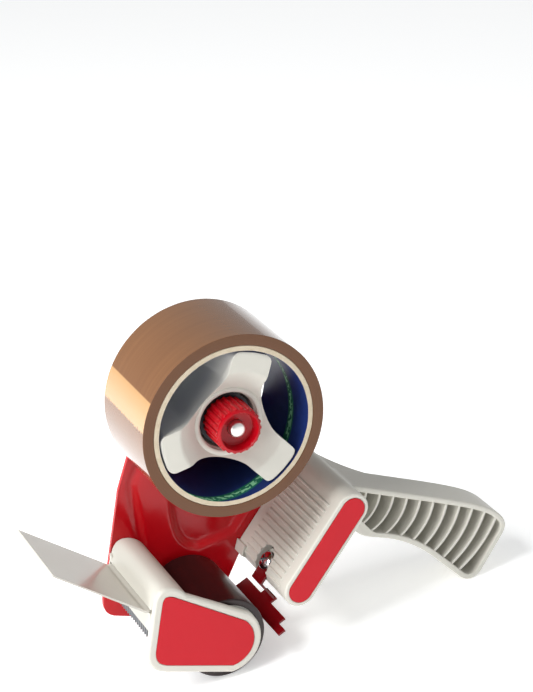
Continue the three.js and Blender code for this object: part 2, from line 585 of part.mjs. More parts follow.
const SLOT_HALF = 0.8;
const SLOT_DEPTH = 8;
const WIPER_THICKNESS = 1;
const WIPER_RISE = rad(31);
const WIPER_BEND_ROOM = 1.8;   // from the slot's mouth to the hinged flap, so that it can bend up
const LIP_WALL = 3;
const ROOF_DROP = 8.5;         // from the head's top down to the underside of its roof
const SLOT_COLLAR = 3;         // plastic above and below the slot's middle
const COVER_LABEL_EDGE = 4.2;
const TOOTH_PITCH = 2.5;
const TOOTH_HEIGHT = 6.5;
const BLADE_DROP = 2.9;        // from the lip's lower edge down to the roots of the teeth
const BLADE_SHEET = 0.8;
const BLADE_X = HEAD_FRONT + LIP_WALL + FIT_GAP;
const BLADE_SCREWS = [TAPE_FAR - 12, TAPE_NEAR + 12];
const BLADE_SCREW_Z = LIP_Z + 5.2;
const BLADE_SCREW_RADIUS = 1.3;
{
  const crown = new THREE.Shape();
  crown.moveTo(HEAD_FRONT, LIP_Z);
  crown.lineTo(HEAD_FRONT, SLOT_Z);
  headCrown(crown);
  crown.lineTo(HEAD_BACK, LIP_Z + 6);
  crown.lineTo(HEAD_BACK - PLASTIC_WALL, LIP_Z + 6);
  crown.lineTo(HEAD_BACK - PLASTIC_WALL, HEAD_TOP - ROOF_DROP);
  crown.lineTo(HEAD_FRONT + 5, HEAD_TOP - ROOF_DROP);
  crown.lineTo(HEAD_FRONT + 5, SLOT_Z + SLOT_COLLAR);
  crown.lineTo(HEAD_FRONT + SLOT_DEPTH + PLASTIC_WALL, SLOT_Z + SLOT_COLLAR);
  crown.lineTo(HEAD_FRONT + SLOT_DEPTH + PLASTIC_WALL, SLOT_Z - SLOT_COLLAR);
  crown.lineTo(HEAD_FRONT + LIP_WALL, SLOT_Z - SLOT_COLLAR);
  crown.lineTo(HEAD_FRONT + LIP_WALL, LIP_Z);
  const endWall = polygon([
    [HEAD_FRONT + 0.5, LIP_Z], [HEAD_FRONT + 0.5, HEAD_TOP - 7],
    [HEAD_BACK - 0.5, HEAD_TOP - 7], [HEAD_BACK - 0.5, LIP_Z],
  ]);
  const cover = coverOutline();
  const label = inset(cover, COVER_LABEL_EDGE);
  const axleBoss = rod(AXLE_DIAMETER / 2 + 3, COVER_IN - 0.2, TAPE_NEAR - 1, ROLLER, ROD_SIDES);
  const slot = across(polygon([
    [HEAD_FRONT - 6, SLOT_Z - SLOT_HALF], [HEAD_FRONT + SLOT_DEPTH, SLOT_Z - SLOT_HALF],
    [HEAD_FRONT + SLOT_DEPTH, SLOT_Z + SLOT_HALF], [HEAD_FRONT - 6, SLOT_Z + SLOT_HALF],
  ]), COVER_IN - 1, MOULD_FAR - 1);
  const screwPads = HEAD_SCREWS.map((place) =>
    rod(BOSS_RADIUS - 0.4, MOULD_FAR - 9, MOULD_FAR, place, HOLE_SIDES));
  const pilots = HEAD_SCREWS.map(screwPilot);
  const bladeHole = (y, x0, x1) =>
    lengthwise(circle(at(y, BLADE_SCREW_Z), BLADE_SCREW_RADIUS + HOLE_GAP), x0, x1);
  const bladePilots = BLADE_SCREWS.map((y) => bladeHole(y, HEAD_FRONT + 0.7, HEAD_FRONT + 12));
  const head = without(
    union(
      across(crown, COVER_IN - 0.5, MOULD_FAR),
      across(endWall, MOULD_FAR - PLASTIC_WALL, MOULD_FAR),
      across(cover, COVER_OUT, COVER_IN),
      axleBoss,
      ...screwPads,
    ),
    slot,
    ...pilots,
    ...bladePilots,
    rod(AXLE_DIAMETER / 2 + HOLE_GAP, COVER_IN - 1, 0, ROLLER, ROD_SIDES),
    across(inset(cover, COVER_LABEL_EDGE - FIT_GAP), COVER_OUT - 1, COVER_OUT + LABEL_RECESS),
  );
  part("cutting_head", head, GREY_PLASTIC);
  const labelNear = COVER_OUT + LABEL_RECESS - FIT_GAP - LABEL_THICKNESS;
  part("cover_label", across(label, labelNear, labelNear + LABEL_THICKNESS), RED_LABEL);

  // Saw blade: a strip behind the lip with its teeth below it
  const near = TAPE_NEAR - 1;
  const count = Math.floor((TAPE_WIDTH + 2) / TOOTH_PITCH);
  const stripTop = SLOT_Z - SLOT_COLLAR - FIT_GAP;
  const roots = LIP_Z - BLADE_DROP;
  const strip = new THREE.Shape();
  strip.moveTo(near, stripTop);
  strip.lineTo(near, roots);
  for (let i = 0; i < count; i += 1) {
    strip.lineTo(near + (i + 0.5) * TOOTH_PITCH, roots - TOOTH_HEIGHT);
    strip.lineTo(near + (i + 1) * TOOTH_PITCH, roots);
  }
  strip.lineTo(near + count * TOOTH_PITCH, stripTop);
  const bladeHoles = BLADE_SCREWS.map((y) => bladeHole(y, BLADE_X - 1, BLADE_X + 2));
  const blade = without(lengthwise(strip, BLADE_X, BLADE_X + BLADE_SHEET), ...bladeHoles);
  part("cutting_blade", blade, STEEL);
  BLADE_SCREWS.forEach((y, i) => {
    const screw = aimed(
      panScrew(2.5, 1.5, BLADE_SCREW_RADIUS, 3), at(1, 0),
      at(BLADE_X + BLADE_SHEET + FIT_GAP, BLADE_SCREW_Z), y,
    );
    part(`blade_screw_${i + 1}`, screw, STEEL);
  });

  // Wiper: one flexible sheet, held in the slot by its root and free beyond the slot's mouth
  const half = WIPER_THICKNESS / 2;
  const root = polygon([
    [HEAD_FRONT + 0.2, SLOT_Z - half], [HEAD_FRONT + SLOT_DEPTH - FIT_GAP, SLOT_Z - half],
    [HEAD_FRONT + SLOT_DEPTH - FIT_GAP, SLOT_Z + half], [HEAD_FRONT + 0.2, SLOT_Z + half],
  ]);
  part("wiper_root", across(root, near, TAPE_FAR), FLAP_PLASTIC);
  const hinge = at(HEAD_FRONT, SLOT_Z);
  const out = at(-Math.cos(WIPER_RISE), Math.sin(WIPER_RISE));
  const side = at(out.y, -out.x);
  const flap = [
    [WIPER_BEND_ROOM, -half], [WIPER_LENGTH, -half], [WIPER_LENGTH, half], [WIPER_BEND_ROOM, half],
  ].map(([u, v]) => hinge.clone().addScaledVector(out, u).addScaledVector(side, v));
  part("wiper_flap", across(new THREE.Shape(flap), near, TAPE_FAR), FLAP_PLASTIC);
}

// ---------------------------------------------------------------- roller on its axle

const SLEEVE_WALL = 3;
const ROLLER_HALF = TAPE_WIDTH / 2 + 0.5;
const DRUM_RADIUS = ROLLER_RADIUS - SLEEVE_WALL - FIT_GAP;
const DRUM_SKIN = 2.2;
const DRUM_WEB = 3;            // half thickness of the disc that joins the drum's bore to its skin
const BUSH_RADIUS = AXLE_DIAMETER / 2 + 2.6;
const BUSH_LENGTH = 9;
const SLEEVE_CHAMFER = 0.6;
{
  part("roller_sleeve", turned([
    [ROLLER_RADIUS - SLEEVE_WALL, -ROLLER_HALF],
    [ROLLER_RADIUS - SLEEVE_CHAMFER, -ROLLER_HALF],
    [ROLLER_RADIUS, -ROLLER_HALF + SLEEVE_CHAMFER],
    [ROLLER_RADIUS, ROLLER_HALF - SLEEVE_CHAMFER],
    [ROLLER_RADIUS - SLEEVE_CHAMFER, ROLLER_HALF],
    [ROLLER_RADIUS - SLEEVE_WALL, ROLLER_HALF],
    [ROLLER_RADIUS - SLEEVE_WALL, -ROLLER_HALF],
  ], ROLLER, 48), BLACK_RUBBER);
  const seatEnd = ROLLER_HALF - BUSH_LENGTH - 0.6;
  const hollow = (y0, y1) =>
    tube(BUSH_RADIUS + DRUM_SKIN, DRUM_RADIUS - DRUM_SKIN, y0, y1, ROLLER, ROD_SIDES);
  const seat = (y0, y1) => rod(BUSH_RADIUS + FIT_GAP, y0, y1, ROLLER, ROD_SIDES);
  const drum = without(
    tube(AXLE_DIAMETER / 2 + 1, DRUM_RADIUS, -ROLLER_HALF + FIT_GAP, ROLLER_HALF - FIT_GAP, ROLLER, 48),
    hollow(-ROLLER_HALF - 1, -DRUM_WEB),
    hollow(DRUM_WEB, ROLLER_HALF + 1),
    seat(-ROLLER_HALF - 1, -seatEnd),
    seat(seatEnd, ROLLER_HALF + 1),
  );
  part("roller_drum", drum, WHITE_PLASTIC);
  const bush = (y0) =>
    tube(AXLE_DIAMETER / 2 + RUN_GAP, BUSH_RADIUS, y0, y0 + BUSH_LENGTH, ROLLER, ROD_SIDES);
  part("roller_bush_1", bush(-ROLLER_HALF), WHITE_PLASTIC);
  part("roller_bush_2", bush(ROLLER_HALF - BUSH_LENGTH), WHITE_PLASTIC);
  part("roller_axle", turned([
    [0, COVER_IN - 0.7],
    [AXLE_DIAMETER / 2, COVER_IN - 0.7],
    [AXLE_DIAMETER / 2, PLATE_OUT + FIT_GAP],
    [AXLE_DIAMETER / 2 + 2.2, PLATE_OUT + FIT_GAP],
    [AXLE_DIAMETER / 2 + 1.4, PLATE_OUT + 2],
    [0, PLATE_OUT + 2.4],
  ], ROLLER, ROD_SIDES), STEEL);
}

// ---------------------------------------------------------------- hub, roll and brake on the spindle

const HUB_ARM = 10.2;
const HUB_REACH = CORE_BORE / 2 - 0.7;
const HUB_WAIST = 18;
const HUB_AIM = rad(76.2);
const HUB_WALL = 2.2;
const HUB_TIP_ROUND = 3.5;
const WELL_RADIUS = KNOB_DIAMETER / 2 + 2.5;
const WELL_FRONT = TAPE_NEAR + 8;
const WELL_FLOOR = TAPE_NEAR + 23;
const HUB_REAR = TAPE_FAR + 1.6;
const STOP_REACH = CORE_BORE / 2 + CORE_WALL;
const HUB_TAIL = TAPE_FAR - 5;
const HUB_BORE = BOLT_DIAMETER / 2 + 0.25;
const HUB_NECK = BOLT_DIAMETER / 2 + 4;
const DISH_DEPTH = 2.5;
const WELL_SIDES = 36;
const FELT_THICKNESS = 2;

// Three arms around the waist, each as wide as its shoe, out to a radius
function armsOutline(reach, half, waist) {
  const shape = new THREE.Shape();
  const turnTo = (angle) => (x, z) => at(x, z).rotateAround(at(0, 0), angle);
  for (let i = 0; i < 3; i += 1) {
    const place = turnTo(HUB_AIM + (i * Math.PI * 2) / 3);
    const edge = Math.sqrt(reach * reach - half * half);
    const spots = [
      place(edge - HUB_TIP_ROUND, -half),
      place(edge, -half),
      place(edge + 0.8, -half + HUB_TIP_ROUND),
      place(reach + 0.2, 0),
      place(edge + 0.8, half - HUB_TIP_ROUND),
      place(edge, half),
      place(edge - HUB_TIP_ROUND, half),
      place(waist + 4, half),
      place(waist + 0.35, half),
      place(waist * Math.cos(Math.PI / 3), waist * Math.sin(Math.PI / 3)),
    ];
    const [a, b, c, tip, d, e, f, g, h, w] = spots;
    if (i === 0) shape.moveTo(a.x, a.y);
    else shape.lineTo(a.x, a.y);
    shape.quadraticCurveTo(b.x, b.y, c.x, c.y);
    shape.quadraticCurveTo(tip.x, tip.y, d.x, d.y);
    shape.quadraticCurveTo(e.x, e.y, f.x, f.y);
    shape.lineTo(g.x, g.y);
    shape.quadraticCurveTo(h.x, h.y, w.x, w.y);
    const next = turnTo(HUB_AIM + ((i + 1) * Math.PI * 2) / 3);
    const low = next(waist + 0.35, -half);
    const join = next(waist + 4, -half);
    shape.quadraticCurveTo(low.x, low.y, join.x, join.y);
  }
  return shape;
}

const hub = new THREE.Group();
dispenser.add(hub);
{
  // The front is dished: flat at the well, rising outwards, then flat again on the arms' shoes
  const dish = (shift, deep) => turned([
    [0, -60],
    [60, -60],
    [60, TAPE_NEAR + shift + 2],
    [HUB_REACH + 1, TAPE_NEAR + shift + 1.2],
    [HUB_REACH - 1.5, TAPE_NEAR + shift],
    [HUB_REACH - 10, TAPE_NEAR + shift],
    [WELL_RADIUS + deep, WELL_FRONT + shift],
    [0, WELL_FRONT + shift],
  ], undefined, DISC_SIDES);
  const armsSolid = (reach, less, y0, y1) =>
    across(armsOutline(reach, HUB_ARM - less, HUB_WAIST - less), y0, y1, HUB_STEPS);
  const outer = armsSolid(HUB_REACH, 0, TAPE_NEAR, HUB_REAR);
  const inner = armsSolid(HUB_REACH - HUB_WALL, HUB_WALL, TAPE_NEAR, HUB_REAR + 1)
    .subtract(dish(PLASTIC_WALL, DISH_DEPTH));
  const stop = armsSolid(STOP_REACH, 0.6, TAPE_FAR + 0.5, HUB_REAR - 0.1)
    .subtract(armsSolid(HUB_REACH - 1, 1, TAPE_FAR - 1, HUB_REAR + 1));
  const wellWall = turned([
    [0, WELL_FRONT + 1],
    [WELL_RADIUS + 2, WELL_FRONT + 1],
    [WELL_RADIUS + 2, WELL_FLOOR + PLASTIC_WALL],
    [HUB_NECK, WELL_FLOOR + PLASTIC_WALL],
    [HUB_NECK, HUB_TAIL],
    [0, HUB_TAIL],
  ], undefined, WELL_SIDES);
  const wellRoom = turned([
    [0, TAPE_NEAR - 5],
    [WELL_RADIUS, TAPE_NEAR - 5],
    [WELL_RADIUS, WELL_FLOOR],
    [HUB_BORE, WELL_FLOOR],
    [HUB_BORE, TAPE_FAR + 9],
    [0, TAPE_FAR + 9],
  ], undefined, WELL_SIDES);
  const arms = outer.subtract(dish(0, DISH_DEPTH - 1)).subtract(inner);
  const hubBody = union(arms, stop, wellWall).subtract(wellRoom);
  part("hub", hubBody, GREY_PLASTIC, hub);
  const discNear = HUB_TAIL + FIT_GAP;
  const disc = tube(
    HUB_BORE + 0.2, HUB_NECK + 5, discNear, discNear + FELT_THICKNESS, undefined, DISC_SIDES,
  );
  part("friction_disc", disc, FELT, hub);
}

{
  const coreOuter = CORE_BORE / 2 + CORE_WALL;
  const ring = (r0, r1) => tube(r0, r1, TAPE_NEAR, TAPE_FAR, undefined, 56);
  part("tape_core", ring(CORE_BORE / 2, coreOuter), CORE_BOARD);
  const wound = ring(coreOuter + FIT_GAP, coreOuter + WOUND_TAPE);
  part("tape_winding", wound, BROWN_TAPE);
}

const HEX_RADIUS = 7.5;
const BOLT_HEAD_HEIGHT = 4.2;
const BOLT_CHAMFER = 0.8;
const WASHER_SHEET = 1.2;
const KNOB_STANDOFF = 6;       // how far the knob stands out past the tape's near edge
const FLUTE_COUNT = 22;
const FLUTE_DEPTHS = [0.8, 0.25, 0, 0.25];
const KNOB_CUP_DEPTH = 5.5;
const SPRING_WIRE = 0.7;
const SPRING_RADIUS = 8;
const SPRING_TURNS = 3.5;
{
  const bolt = BOLT_DIAMETER / 2;
  const hexagon = (r, y0, y1) => rod(r, y0, y1, undefined, 6);
  const headFrom = PAN_OUT + FIT_GAP;
  const backingFar = TAPE_FAR - 1.2;
  const backing = tube(
    bolt + HOLE_GAP, bolt + 9, backingFar - WASHER_SHEET, backingFar, undefined, DISC_SIDES,
  );
  const nut = hexagon(HEX_RADIUS, backingFar + FIT_GAP, PAN_IN - FIT_GAP)
    .subtract(rod(bolt + HOLE_GAP, 0, BEYOND, undefined, ROD_SIDES));
  const knobNear = TAPE_NEAR - KNOB_STANDOFF;
  const boltNear = knobNear + 1.2;
  part("spindle_bolt", union(
    turned([
      [0, boltNear],
      [bolt - BOLT_CHAMFER, boltNear],
      [bolt, boltNear + BOLT_CHAMFER],
      [bolt, headFrom],
      [0, headFrom],
    ], undefined, ROD_SIDES),
    hexagon(HEX_RADIUS, headFrom - 0.01, headFrom + BOLT_HEAD_HEIGHT),
  ), STEEL);
  part("spindle_nut", nut, STEEL);
  part("backing_washer", backing, STEEL);

  // Brake knob: a fluted cup that screws along the bolt, over a washer and the brake spring
  const rim = new THREE.Shape();
  const knobRadius = KNOB_DIAMETER / 2;
  const spots = FLUTE_COUNT * FLUTE_DEPTHS.length;
  for (let i = 0; i < spots; i += 1) {
    const angle = (i * Math.PI * 2) / spots;
    const r = knobRadius - FLUTE_DEPTHS[i % FLUTE_DEPTHS.length];
    const spot = at(r * Math.cos(angle), r * Math.sin(angle));
    if (i === 0) rim.moveTo(spot.x, spot.y);
    else rim.lineTo(spot.x, spot.y);
  }
  const knobFar = knobNear + KNOB_LENGTH;
  const fluted = across(rim, knobNear, knobFar);
  const softened = turned([
    [0, knobNear - 1],
    [knobRadius - 1.6, knobNear - 1],
    [knobRadius - 1.6, knobNear],
    [knobRadius + 1, knobNear + 2.4],
    [knobRadius + 1, knobFar + 1],
    [0, knobFar + 1],
  ], undefined, FLUTE_COUNT * 2);
  const knob = without(
    fluted.intersect(softened),
    turned([
      [0, knobNear - 1],
      [knobRadius - 2.1, knobNear - 1],
      [knobRadius - 3, knobNear + KNOB_CUP_DEPTH],
      [0, knobNear + KNOB_CUP_DEPTH],
    ], undefined, DISC_SIDES),
    rod(bolt + RUN_GAP, -BEYOND, BEYOND, undefined, ROD_SIDES),
    tube(bolt + 2.5, knobRadius - 2.6, knobNear + 8, knobFar + 1, undefined, ROD_SIDES),
  );
  part("brake_knob", knob, RED_PLASTIC);
  const washerNear = knobFar + FIT_GAP;
  const washerFar = washerNear + WASHER_SHEET;
  const washer = tube(bolt + RUN_GAP, WELL_RADIUS - 1.2, washerNear, washerFar, undefined, DISC_SIDES);
  part("brake_washer", washer, STEEL);

  class Coil extends THREE.Curve {
    constructor(radius, y0, y1, turns) {
      super();
      Object.assign(this, { radius, y0, y1, turns });
    }

    getPoint(t, target = new THREE.Vector3()) {
      const angle = t * this.turns * Math.PI * 2;
      return target.set(
        this.radius * Math.cos(angle), this.y0 + t * (this.y1 - this.y0), this.radius * Math.sin(angle),
      );
    }
  }
  const section = new THREE.Shape();
  section.absarc(0, 0, SPRING_WIRE, 0, Math.PI * 2);
  const ends = FIT_GAP + SPRING_WIRE;
  const coil = new Coil(SPRING_RADIUS, washerFar + ends, WELL_FLOOR - ends, SPRING_TURNS);
  const spring = new THREE.ExtrudeGeometry(section, {
    steps: SPRING_TURNS * 16,
    curveSegments: 2,
    extrudePath: coil,
  });
  part("brake_spring", solid(spring), STEEL);
}

// ---------------------------------------------------------------- standing on the roller and the butt

const reachToButt = BUTT.clone().sub(ROLLER);
const lineOfCentres = Math.atan2(reachToButt.y, reachToButt.x);
const tangent = Math.asin((ROLLER_RADIUS - BUTT_RADIUS) / reachToButt.length());
dispenser.rotation.y = lineOfCentres + tangent;
dispenser.updateMatrixWorld(true);
const box = new THREE.Box3().setFromObject(dispenser, true);
dispenser.position.set(-(box.min.x + box.max.x) / 2, -(box.min.y + box.max.y) / 2, -box.min.z);

export default dispenser;
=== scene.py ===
import math

import bmesh
import bpy
from mathutils import Matrix, Vector, geometry


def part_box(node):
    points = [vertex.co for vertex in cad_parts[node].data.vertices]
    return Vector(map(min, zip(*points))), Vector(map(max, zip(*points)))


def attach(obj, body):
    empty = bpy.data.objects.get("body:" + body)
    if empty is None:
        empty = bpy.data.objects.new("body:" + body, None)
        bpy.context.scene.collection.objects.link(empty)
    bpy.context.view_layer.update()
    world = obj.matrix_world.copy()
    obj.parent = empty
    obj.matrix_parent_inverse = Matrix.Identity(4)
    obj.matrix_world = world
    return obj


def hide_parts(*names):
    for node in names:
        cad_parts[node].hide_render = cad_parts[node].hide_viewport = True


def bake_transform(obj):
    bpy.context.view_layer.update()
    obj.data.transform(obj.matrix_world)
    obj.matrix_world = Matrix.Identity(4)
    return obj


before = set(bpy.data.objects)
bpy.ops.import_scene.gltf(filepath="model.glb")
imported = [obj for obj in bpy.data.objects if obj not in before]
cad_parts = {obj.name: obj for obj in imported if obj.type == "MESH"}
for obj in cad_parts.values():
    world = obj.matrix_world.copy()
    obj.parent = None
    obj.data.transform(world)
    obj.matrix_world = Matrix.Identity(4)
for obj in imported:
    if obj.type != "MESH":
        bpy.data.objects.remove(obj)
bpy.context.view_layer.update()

# ---------------------------------------------------------------- camera, lights and floor
# The camera stands at the open side of the dispenser, left of the grip and a little above it. Three soft boxes
# and a pale dome light the dispenser as a product table does, and it stands on a plain white sheet.


def colour(code):
    """The linear colour of an sRGB hex value."""
    parts = [int(code[i:i + 2], 16) / 255 for i in (1, 3, 5)]
    return [v / 12.92 if v <= 0.04045 else ((v + 0.055) / 1.055) ** 2.4 for v in parts] + [1.0]


def add(tree, kind, inputs=None, **settings):
    """One node with its settings, and its inputs given as values or as the sockets they are linked from."""
    node = tree.nodes.new(kind)
    for name, value in settings.items():
        setattr(node, name, value)
    for key, value in (inputs or {}).items():
        if isinstance(value, bpy.types.NodeSocket):
            tree.links.new(value, node.inputs[key])
        else:
            node.inputs[key].default_value = value
    return node


def middle(node):
    low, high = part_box(node)
    return (low + high) / 2


spindle = middle("tape_core")
scene = bpy.context.scene
scene.view_settings.view_transform = "Standard"

CAMERA_FROM_SPINDLE = Vector((-0.3281, -0.8827, 0.4700))
CAMERA_AZIMUTH = math.radians(-22.11)
CAMERA_ELEVATION = math.radians(25.10)
CAMERA_ROLL = math.radians(-6.15)
CAMERA_LENS = 114.45
lens = bpy.data.cameras.new("camera")
lens.lens = CAMERA_LENS
lens.sensor_width = 36.0
camera = bpy.data.objects.new("camera", lens)
scene.collection.objects.link(camera)
camera.location = spindle + CAMERA_FROM_SPINDLE
turn = (Matrix.Rotation(CAMERA_AZIMUTH, 4, "Z") @ Matrix.Rotation(math.pi / 2 - CAMERA_ELEVATION, 4, "X")
        @ Matrix.Rotation(CAMERA_ROLL, 4, "Z"))
camera.rotation_euler = turn.to_euler()
scene.camera = camera

world = bpy.data.worlds.new("studio")
world.use_nodes = True
world.node_tree.nodes["Background"].inputs["Color"].default_value = colour("#f4f5f6")
world.node_tree.nodes["Background"].inputs["Strength"].default_value = 0.42
scene.world = world


def soft_box(name, place, size, power):
    """A square area light that faces the dispenser."""
    light = bpy.data.lights.new(name, "AREA")
    light.size = size
    light.energy = power
    lamp = bpy.data.objects.new(name, light)
    lamp.location = place
    lamp.rotation_euler = (spindle - Vector(place)).to_track_quat("-Z", "Y").to_euler()
    scene.collection.objects.link(lamp)


soft_box("key_light", (-0.95, -0.15, 1.15), 0.7, 20.0)
soft_box("fill_light", (0.9, -0.9, 0.8), 0.9, 0.8)
soft_box("low_side_light", (-0.9, -0.35, 0.25), 0.5, 3.5)

floor_mesh = bpy.data.meshes.new("floor")
floor_mesh.from_pydata([(-30, -30, 0), (30, -30, 0), (30, 30, 0), (-30, 30, 0)], [], [(0, 1, 2, 3)])
floor = bpy.data.objects.new("floor", floor_mesh)
scene.collection.objects.link(floor)
paper = bpy.data.materials.new("white_paper_sweep")
paper.use_nodes = True
paper_shader = paper.node_tree.nodes["Principled BSDF"]
paper_shader.inputs["Base Color"].default_value = colour("#fafbfb")
paper_shader.inputs["Roughness"].default_value = 0.9
paper_shader.inputs["Emission Color"].default_value = colour("#ffffff")
paper_shader.inputs["Emission Strength"].default_value = 0.36
floor_mesh.materials.append(paper)

# ---------------------------------------------------------------- side plate
# The plate is the dispenser's backbone: 2 mm deep drawing steel, blanked, then pressed with a stiffening pan under
# the roll and a crease along its front edge, and stove enamelled red. Everything else is screwed to it.

TAPE_NEAR, TAPE_FAR = -25.0, 25.0
PLATE_IN, PLATE_OUT = 28.0, 30.0
SHEET = 2.0
ROLLER = Vector((-2.0, -112.0))
ROLLER_RADIUS = 21.0
HEAD_BACK, HEAD_FRONT, HEAD_TOP = -24.5, -42.5, -76.7
SLOT_Z, LIP_Z = -88.9, -99.7
SLAB_ANGLE = math.radians(56)
SLAB_RADIUS, FACE_DISTANCE = 8.6, 73.2
SLAB_MIDDLE = FACE_DISTANCE + SLAB_RADIUS
SLAB_TOP_RUN, SLAB_LOW_RUN = -8.5, -55.8
COVER_RADIUS = ROLLER_RADIUS - 3.5

# The pieces are drawn in millimetres round the spindle, with the roller straight under it. This matrix stands
# them on the roller and the butt of the grip, as the frame does.
axle = middle("roller_sleeve")
drawn = math.atan2(ROLLER.y, ROLLER.x)
stood = math.atan2(axle.z - spindle.z, axle.x - spindle.x)
PLACE = Matrix.Translation(spindle) @ Matrix.Rotation(drawn - stood, 4, "Y") @ Matrix.Scale(0.001, 4)


def slab_point(run, distance):
    """A point by its run along the ridged block and its distance from the spindle."""
    c, s = math.cos(SLAB_ANGLE), math.sin(SLAB_ANGLE)
    return Vector((run * c + distance * s, run * s - distance * c))


def arc(x, z, radius, start, end, steps=12):
    """Points of an arc about (x, z), with its angles in degrees."""
    angles = [math.radians(start + (end - start) * k / steps) for k in range(steps + 1)]
    return [Vector((x + radius * math.cos(a), z + radius * math.sin(a))) for a in angles]


def bezier(a, b, c, d, steps=10):
    """Points of a cubic curve after its first one."""
    a, b, c, d = (Vector(p) for p in (a, b, c, d))
    return [a * (1 - t) ** 3 + b * 3 * t * (1 - t) ** 2 + c * 3 * t * t * (1 - t) + d * t ** 3
            for t in (k / steps for k in range(1, steps + 1))]


def joined(*runs):
    """One outline from runs of points, without the points that repeat."""
    points = []
    for run in runs:
        for p in run:
            p = Vector(p)
            if not points or (p - points[-1]).length > 0.02:
                points.append(p)
    if (points[0] - points[-1]).length < 0.02:
        points.pop()
    return points


def inset(points, distance):
    """The same outline moved in by a distance, or out by a negative one."""
    count = len(points)
    area = sum(points[i - 1].x * points[i].y - points[i].x * points[i - 1].y for i in range(count))
    moved = []
    for i, p in enumerate(points):
        before = (p - points[i - 1]).normalized()
        after = (points[(i + 1) % count] - p).normalized()
        normal = Vector((-before.y - after.y, before.x + after.x)).normalized()
        spread = max(normal.dot(Vector((-after.y, after.x))), 0.35)
        moved.append(p + normal * (math.copysign(distance, distance * area) / spread))
    return moved


def as_object(mesh_or_bm, name="blank"):
    """A working object from a bmesh or a mesh."""
    mesh = mesh_or_bm
    if isinstance(mesh_or_bm, bmesh.types.BMesh):
        bmesh.ops.recalc_face_normals(mesh_or_bm, faces=mesh_or_bm.faces)
        mesh = bpy.data.meshes.new(name)
        mesh_or_bm.to_mesh(mesh)
        mesh_or_bm.free()
    obj = bpy.data.objects.new(name, mesh)
    scene.collection.objects.link(obj)
    return obj


def evaluated(obj):
    """The object with its modifiers made into plain mesh."""
    bpy.context.view_layer.update()
    mesh = bpy.data.meshes.new_from_object(obj.evaluated_get(bpy.context.evaluated_depsgraph_get()))
    obj.modifiers.clear()
    obj.data = mesh
    return obj


def finished(obj, name, materials, body, *nodes, slot, sharp=30):
    """Puts a drawn piece in its place on the dispenser, shades it, and hands it to its body."""
    bm = bmesh.new()
    bm.from_mesh(obj.data)
    bmesh.ops.remove_doubles(bm, verts=bm.verts, dist=0.002)
    bmesh.ops.recalc_face_normals(bm, faces=bm.faces)
    bm.to_mesh(obj.data)
    bm.free()
    obj.data.transform(PLACE)
    obj.data.shade_smooth()
    obj.data.set_sharp_from_angle(angle=math.radians(sharp))
    flats = obj.modifiers.new("flats", "WEIGHTED_NORMAL")
    flats.keep_sharp = True
    evaluated(obj)
    obj.name = obj.data.name = name
    chosen = [face.material_index for face in obj.data.polygons]
    obj.data.materials.clear()
    for material in materials:
        obj.data.materials.append(material)
    for face, index in zip(obj.data.polygons, chosen):
        face.material_index = min(index, len(materials) - 1)
    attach(obj, body)
    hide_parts(*nodes)
    return obj


def plate_outline():
    low = ROLLER.y - COVER_RADIUS
    corner = slab_point(SLAB_LOW_RUN - SLAB_RADIUS + 3, SLAB_MIDDLE - 4)
    heel = slab_point(SLAB_LOW_RUN - 4, SLAB_MIDDLE + SLAB_RADIUS - 2)
    shoulder = slab_point(SLAB_TOP_RUN, SLAB_MIDDLE + SLAB_RADIUS - 2)
    top = slab_point(SLAB_TOP_RUN + 4, SLAB_MIDDLE + 2)
    knee = (ROLLER.x + 25, ROLLER.y + 1)
    toe = (HEAD_FRONT + 3, low + 9.6)
    return joined(
        arc(0, 0, 23, 20, 165, 24),
        [(HEAD_FRONT + 4.5, HEAD_TOP + 26), (HEAD_FRONT - 0.2, SLOT_Z)],
        bezier((HEAD_FRONT - 0.2, SLOT_Z), (HEAD_FRONT - 2.5, ROLLER.y + 6), (HEAD_FRONT - 6.5, low + 13), toe),
        [(ROLLER.x + 1, low + 0.4)],
        bezier((ROLLER.x + 1, low + 0.4), (ROLLER.x + 12, low - 1), (ROLLER.x + 18, ROLLER.y - 6), knee),
        [corner, heel, shoulder],
        bezier(shoulder, (shoulder.x + 1, shoulder.y + 6), (top.x + 4, top.y + 2), top),
    )


def pan_outline():
    face = slab_point(SLAB_LOW_RUN, FACE_DISTANCE - 6)
    upper = slab_point(SLAB_TOP_RUN - 8, FACE_DISTANCE - 6)
    sill = ROLLER.y + ROLLER_RADIUS
    return joined(
        arc(0, 0, 17, 20, 170, 24),
        [(-8.5, sill + 25)],
        bezier((-8.5, sill + 25), (-7, sill + 16), (-6, sill + 4), (6, sill + 2)),
        [face, upper],
    )


def reach(point, line, closed=True):
    """Distance from a point to a run of points, negative inside a closed one."""
    best, inside = 1e9, False
    for i in range(0 if closed else 1, len(line)):
        a, b = line[i - 1], line[i]
        t = max(0.0, min(1.0, (point - a).dot(b - a) / max((b - a).length_squared, 1e-9)))
        best = min(best, (point - a.lerp(b, t)).length)
        if (a.y > point.y) != (b.y > point.y) and point.x < a.x + (point.y - a.y) * (b.x - a.x) / (b.y - a.y):
            inside = not inside
    return -best if inside and closed else best


def smooth(t):
    t = max(0.0, min(1.0, t))
    return t * t * (3 - 2 * t)


PAN_DEPTH = 2.5
CREASE_DEPTH, CREASE_WIDTH = 0.9, 2.2
CREASE = [Vector(p) for p in ((-21, -30), (-28, -40), (-31, -48), (-29.5, -60), (-26.5, -75), (-24, -88), (-24, -100))]


def pressing(point, pan):
    """How far the tools push the sheet out at a point."""
    wall = 4.0
    out = PAN_DEPTH * smooth(0.5 - reach(point, pan) / wall)
    groove = reach(point, CREASE, closed=False) / CREASE_WIDTH
    return out + CREASE_DEPTH * math.exp(-groove * groove)


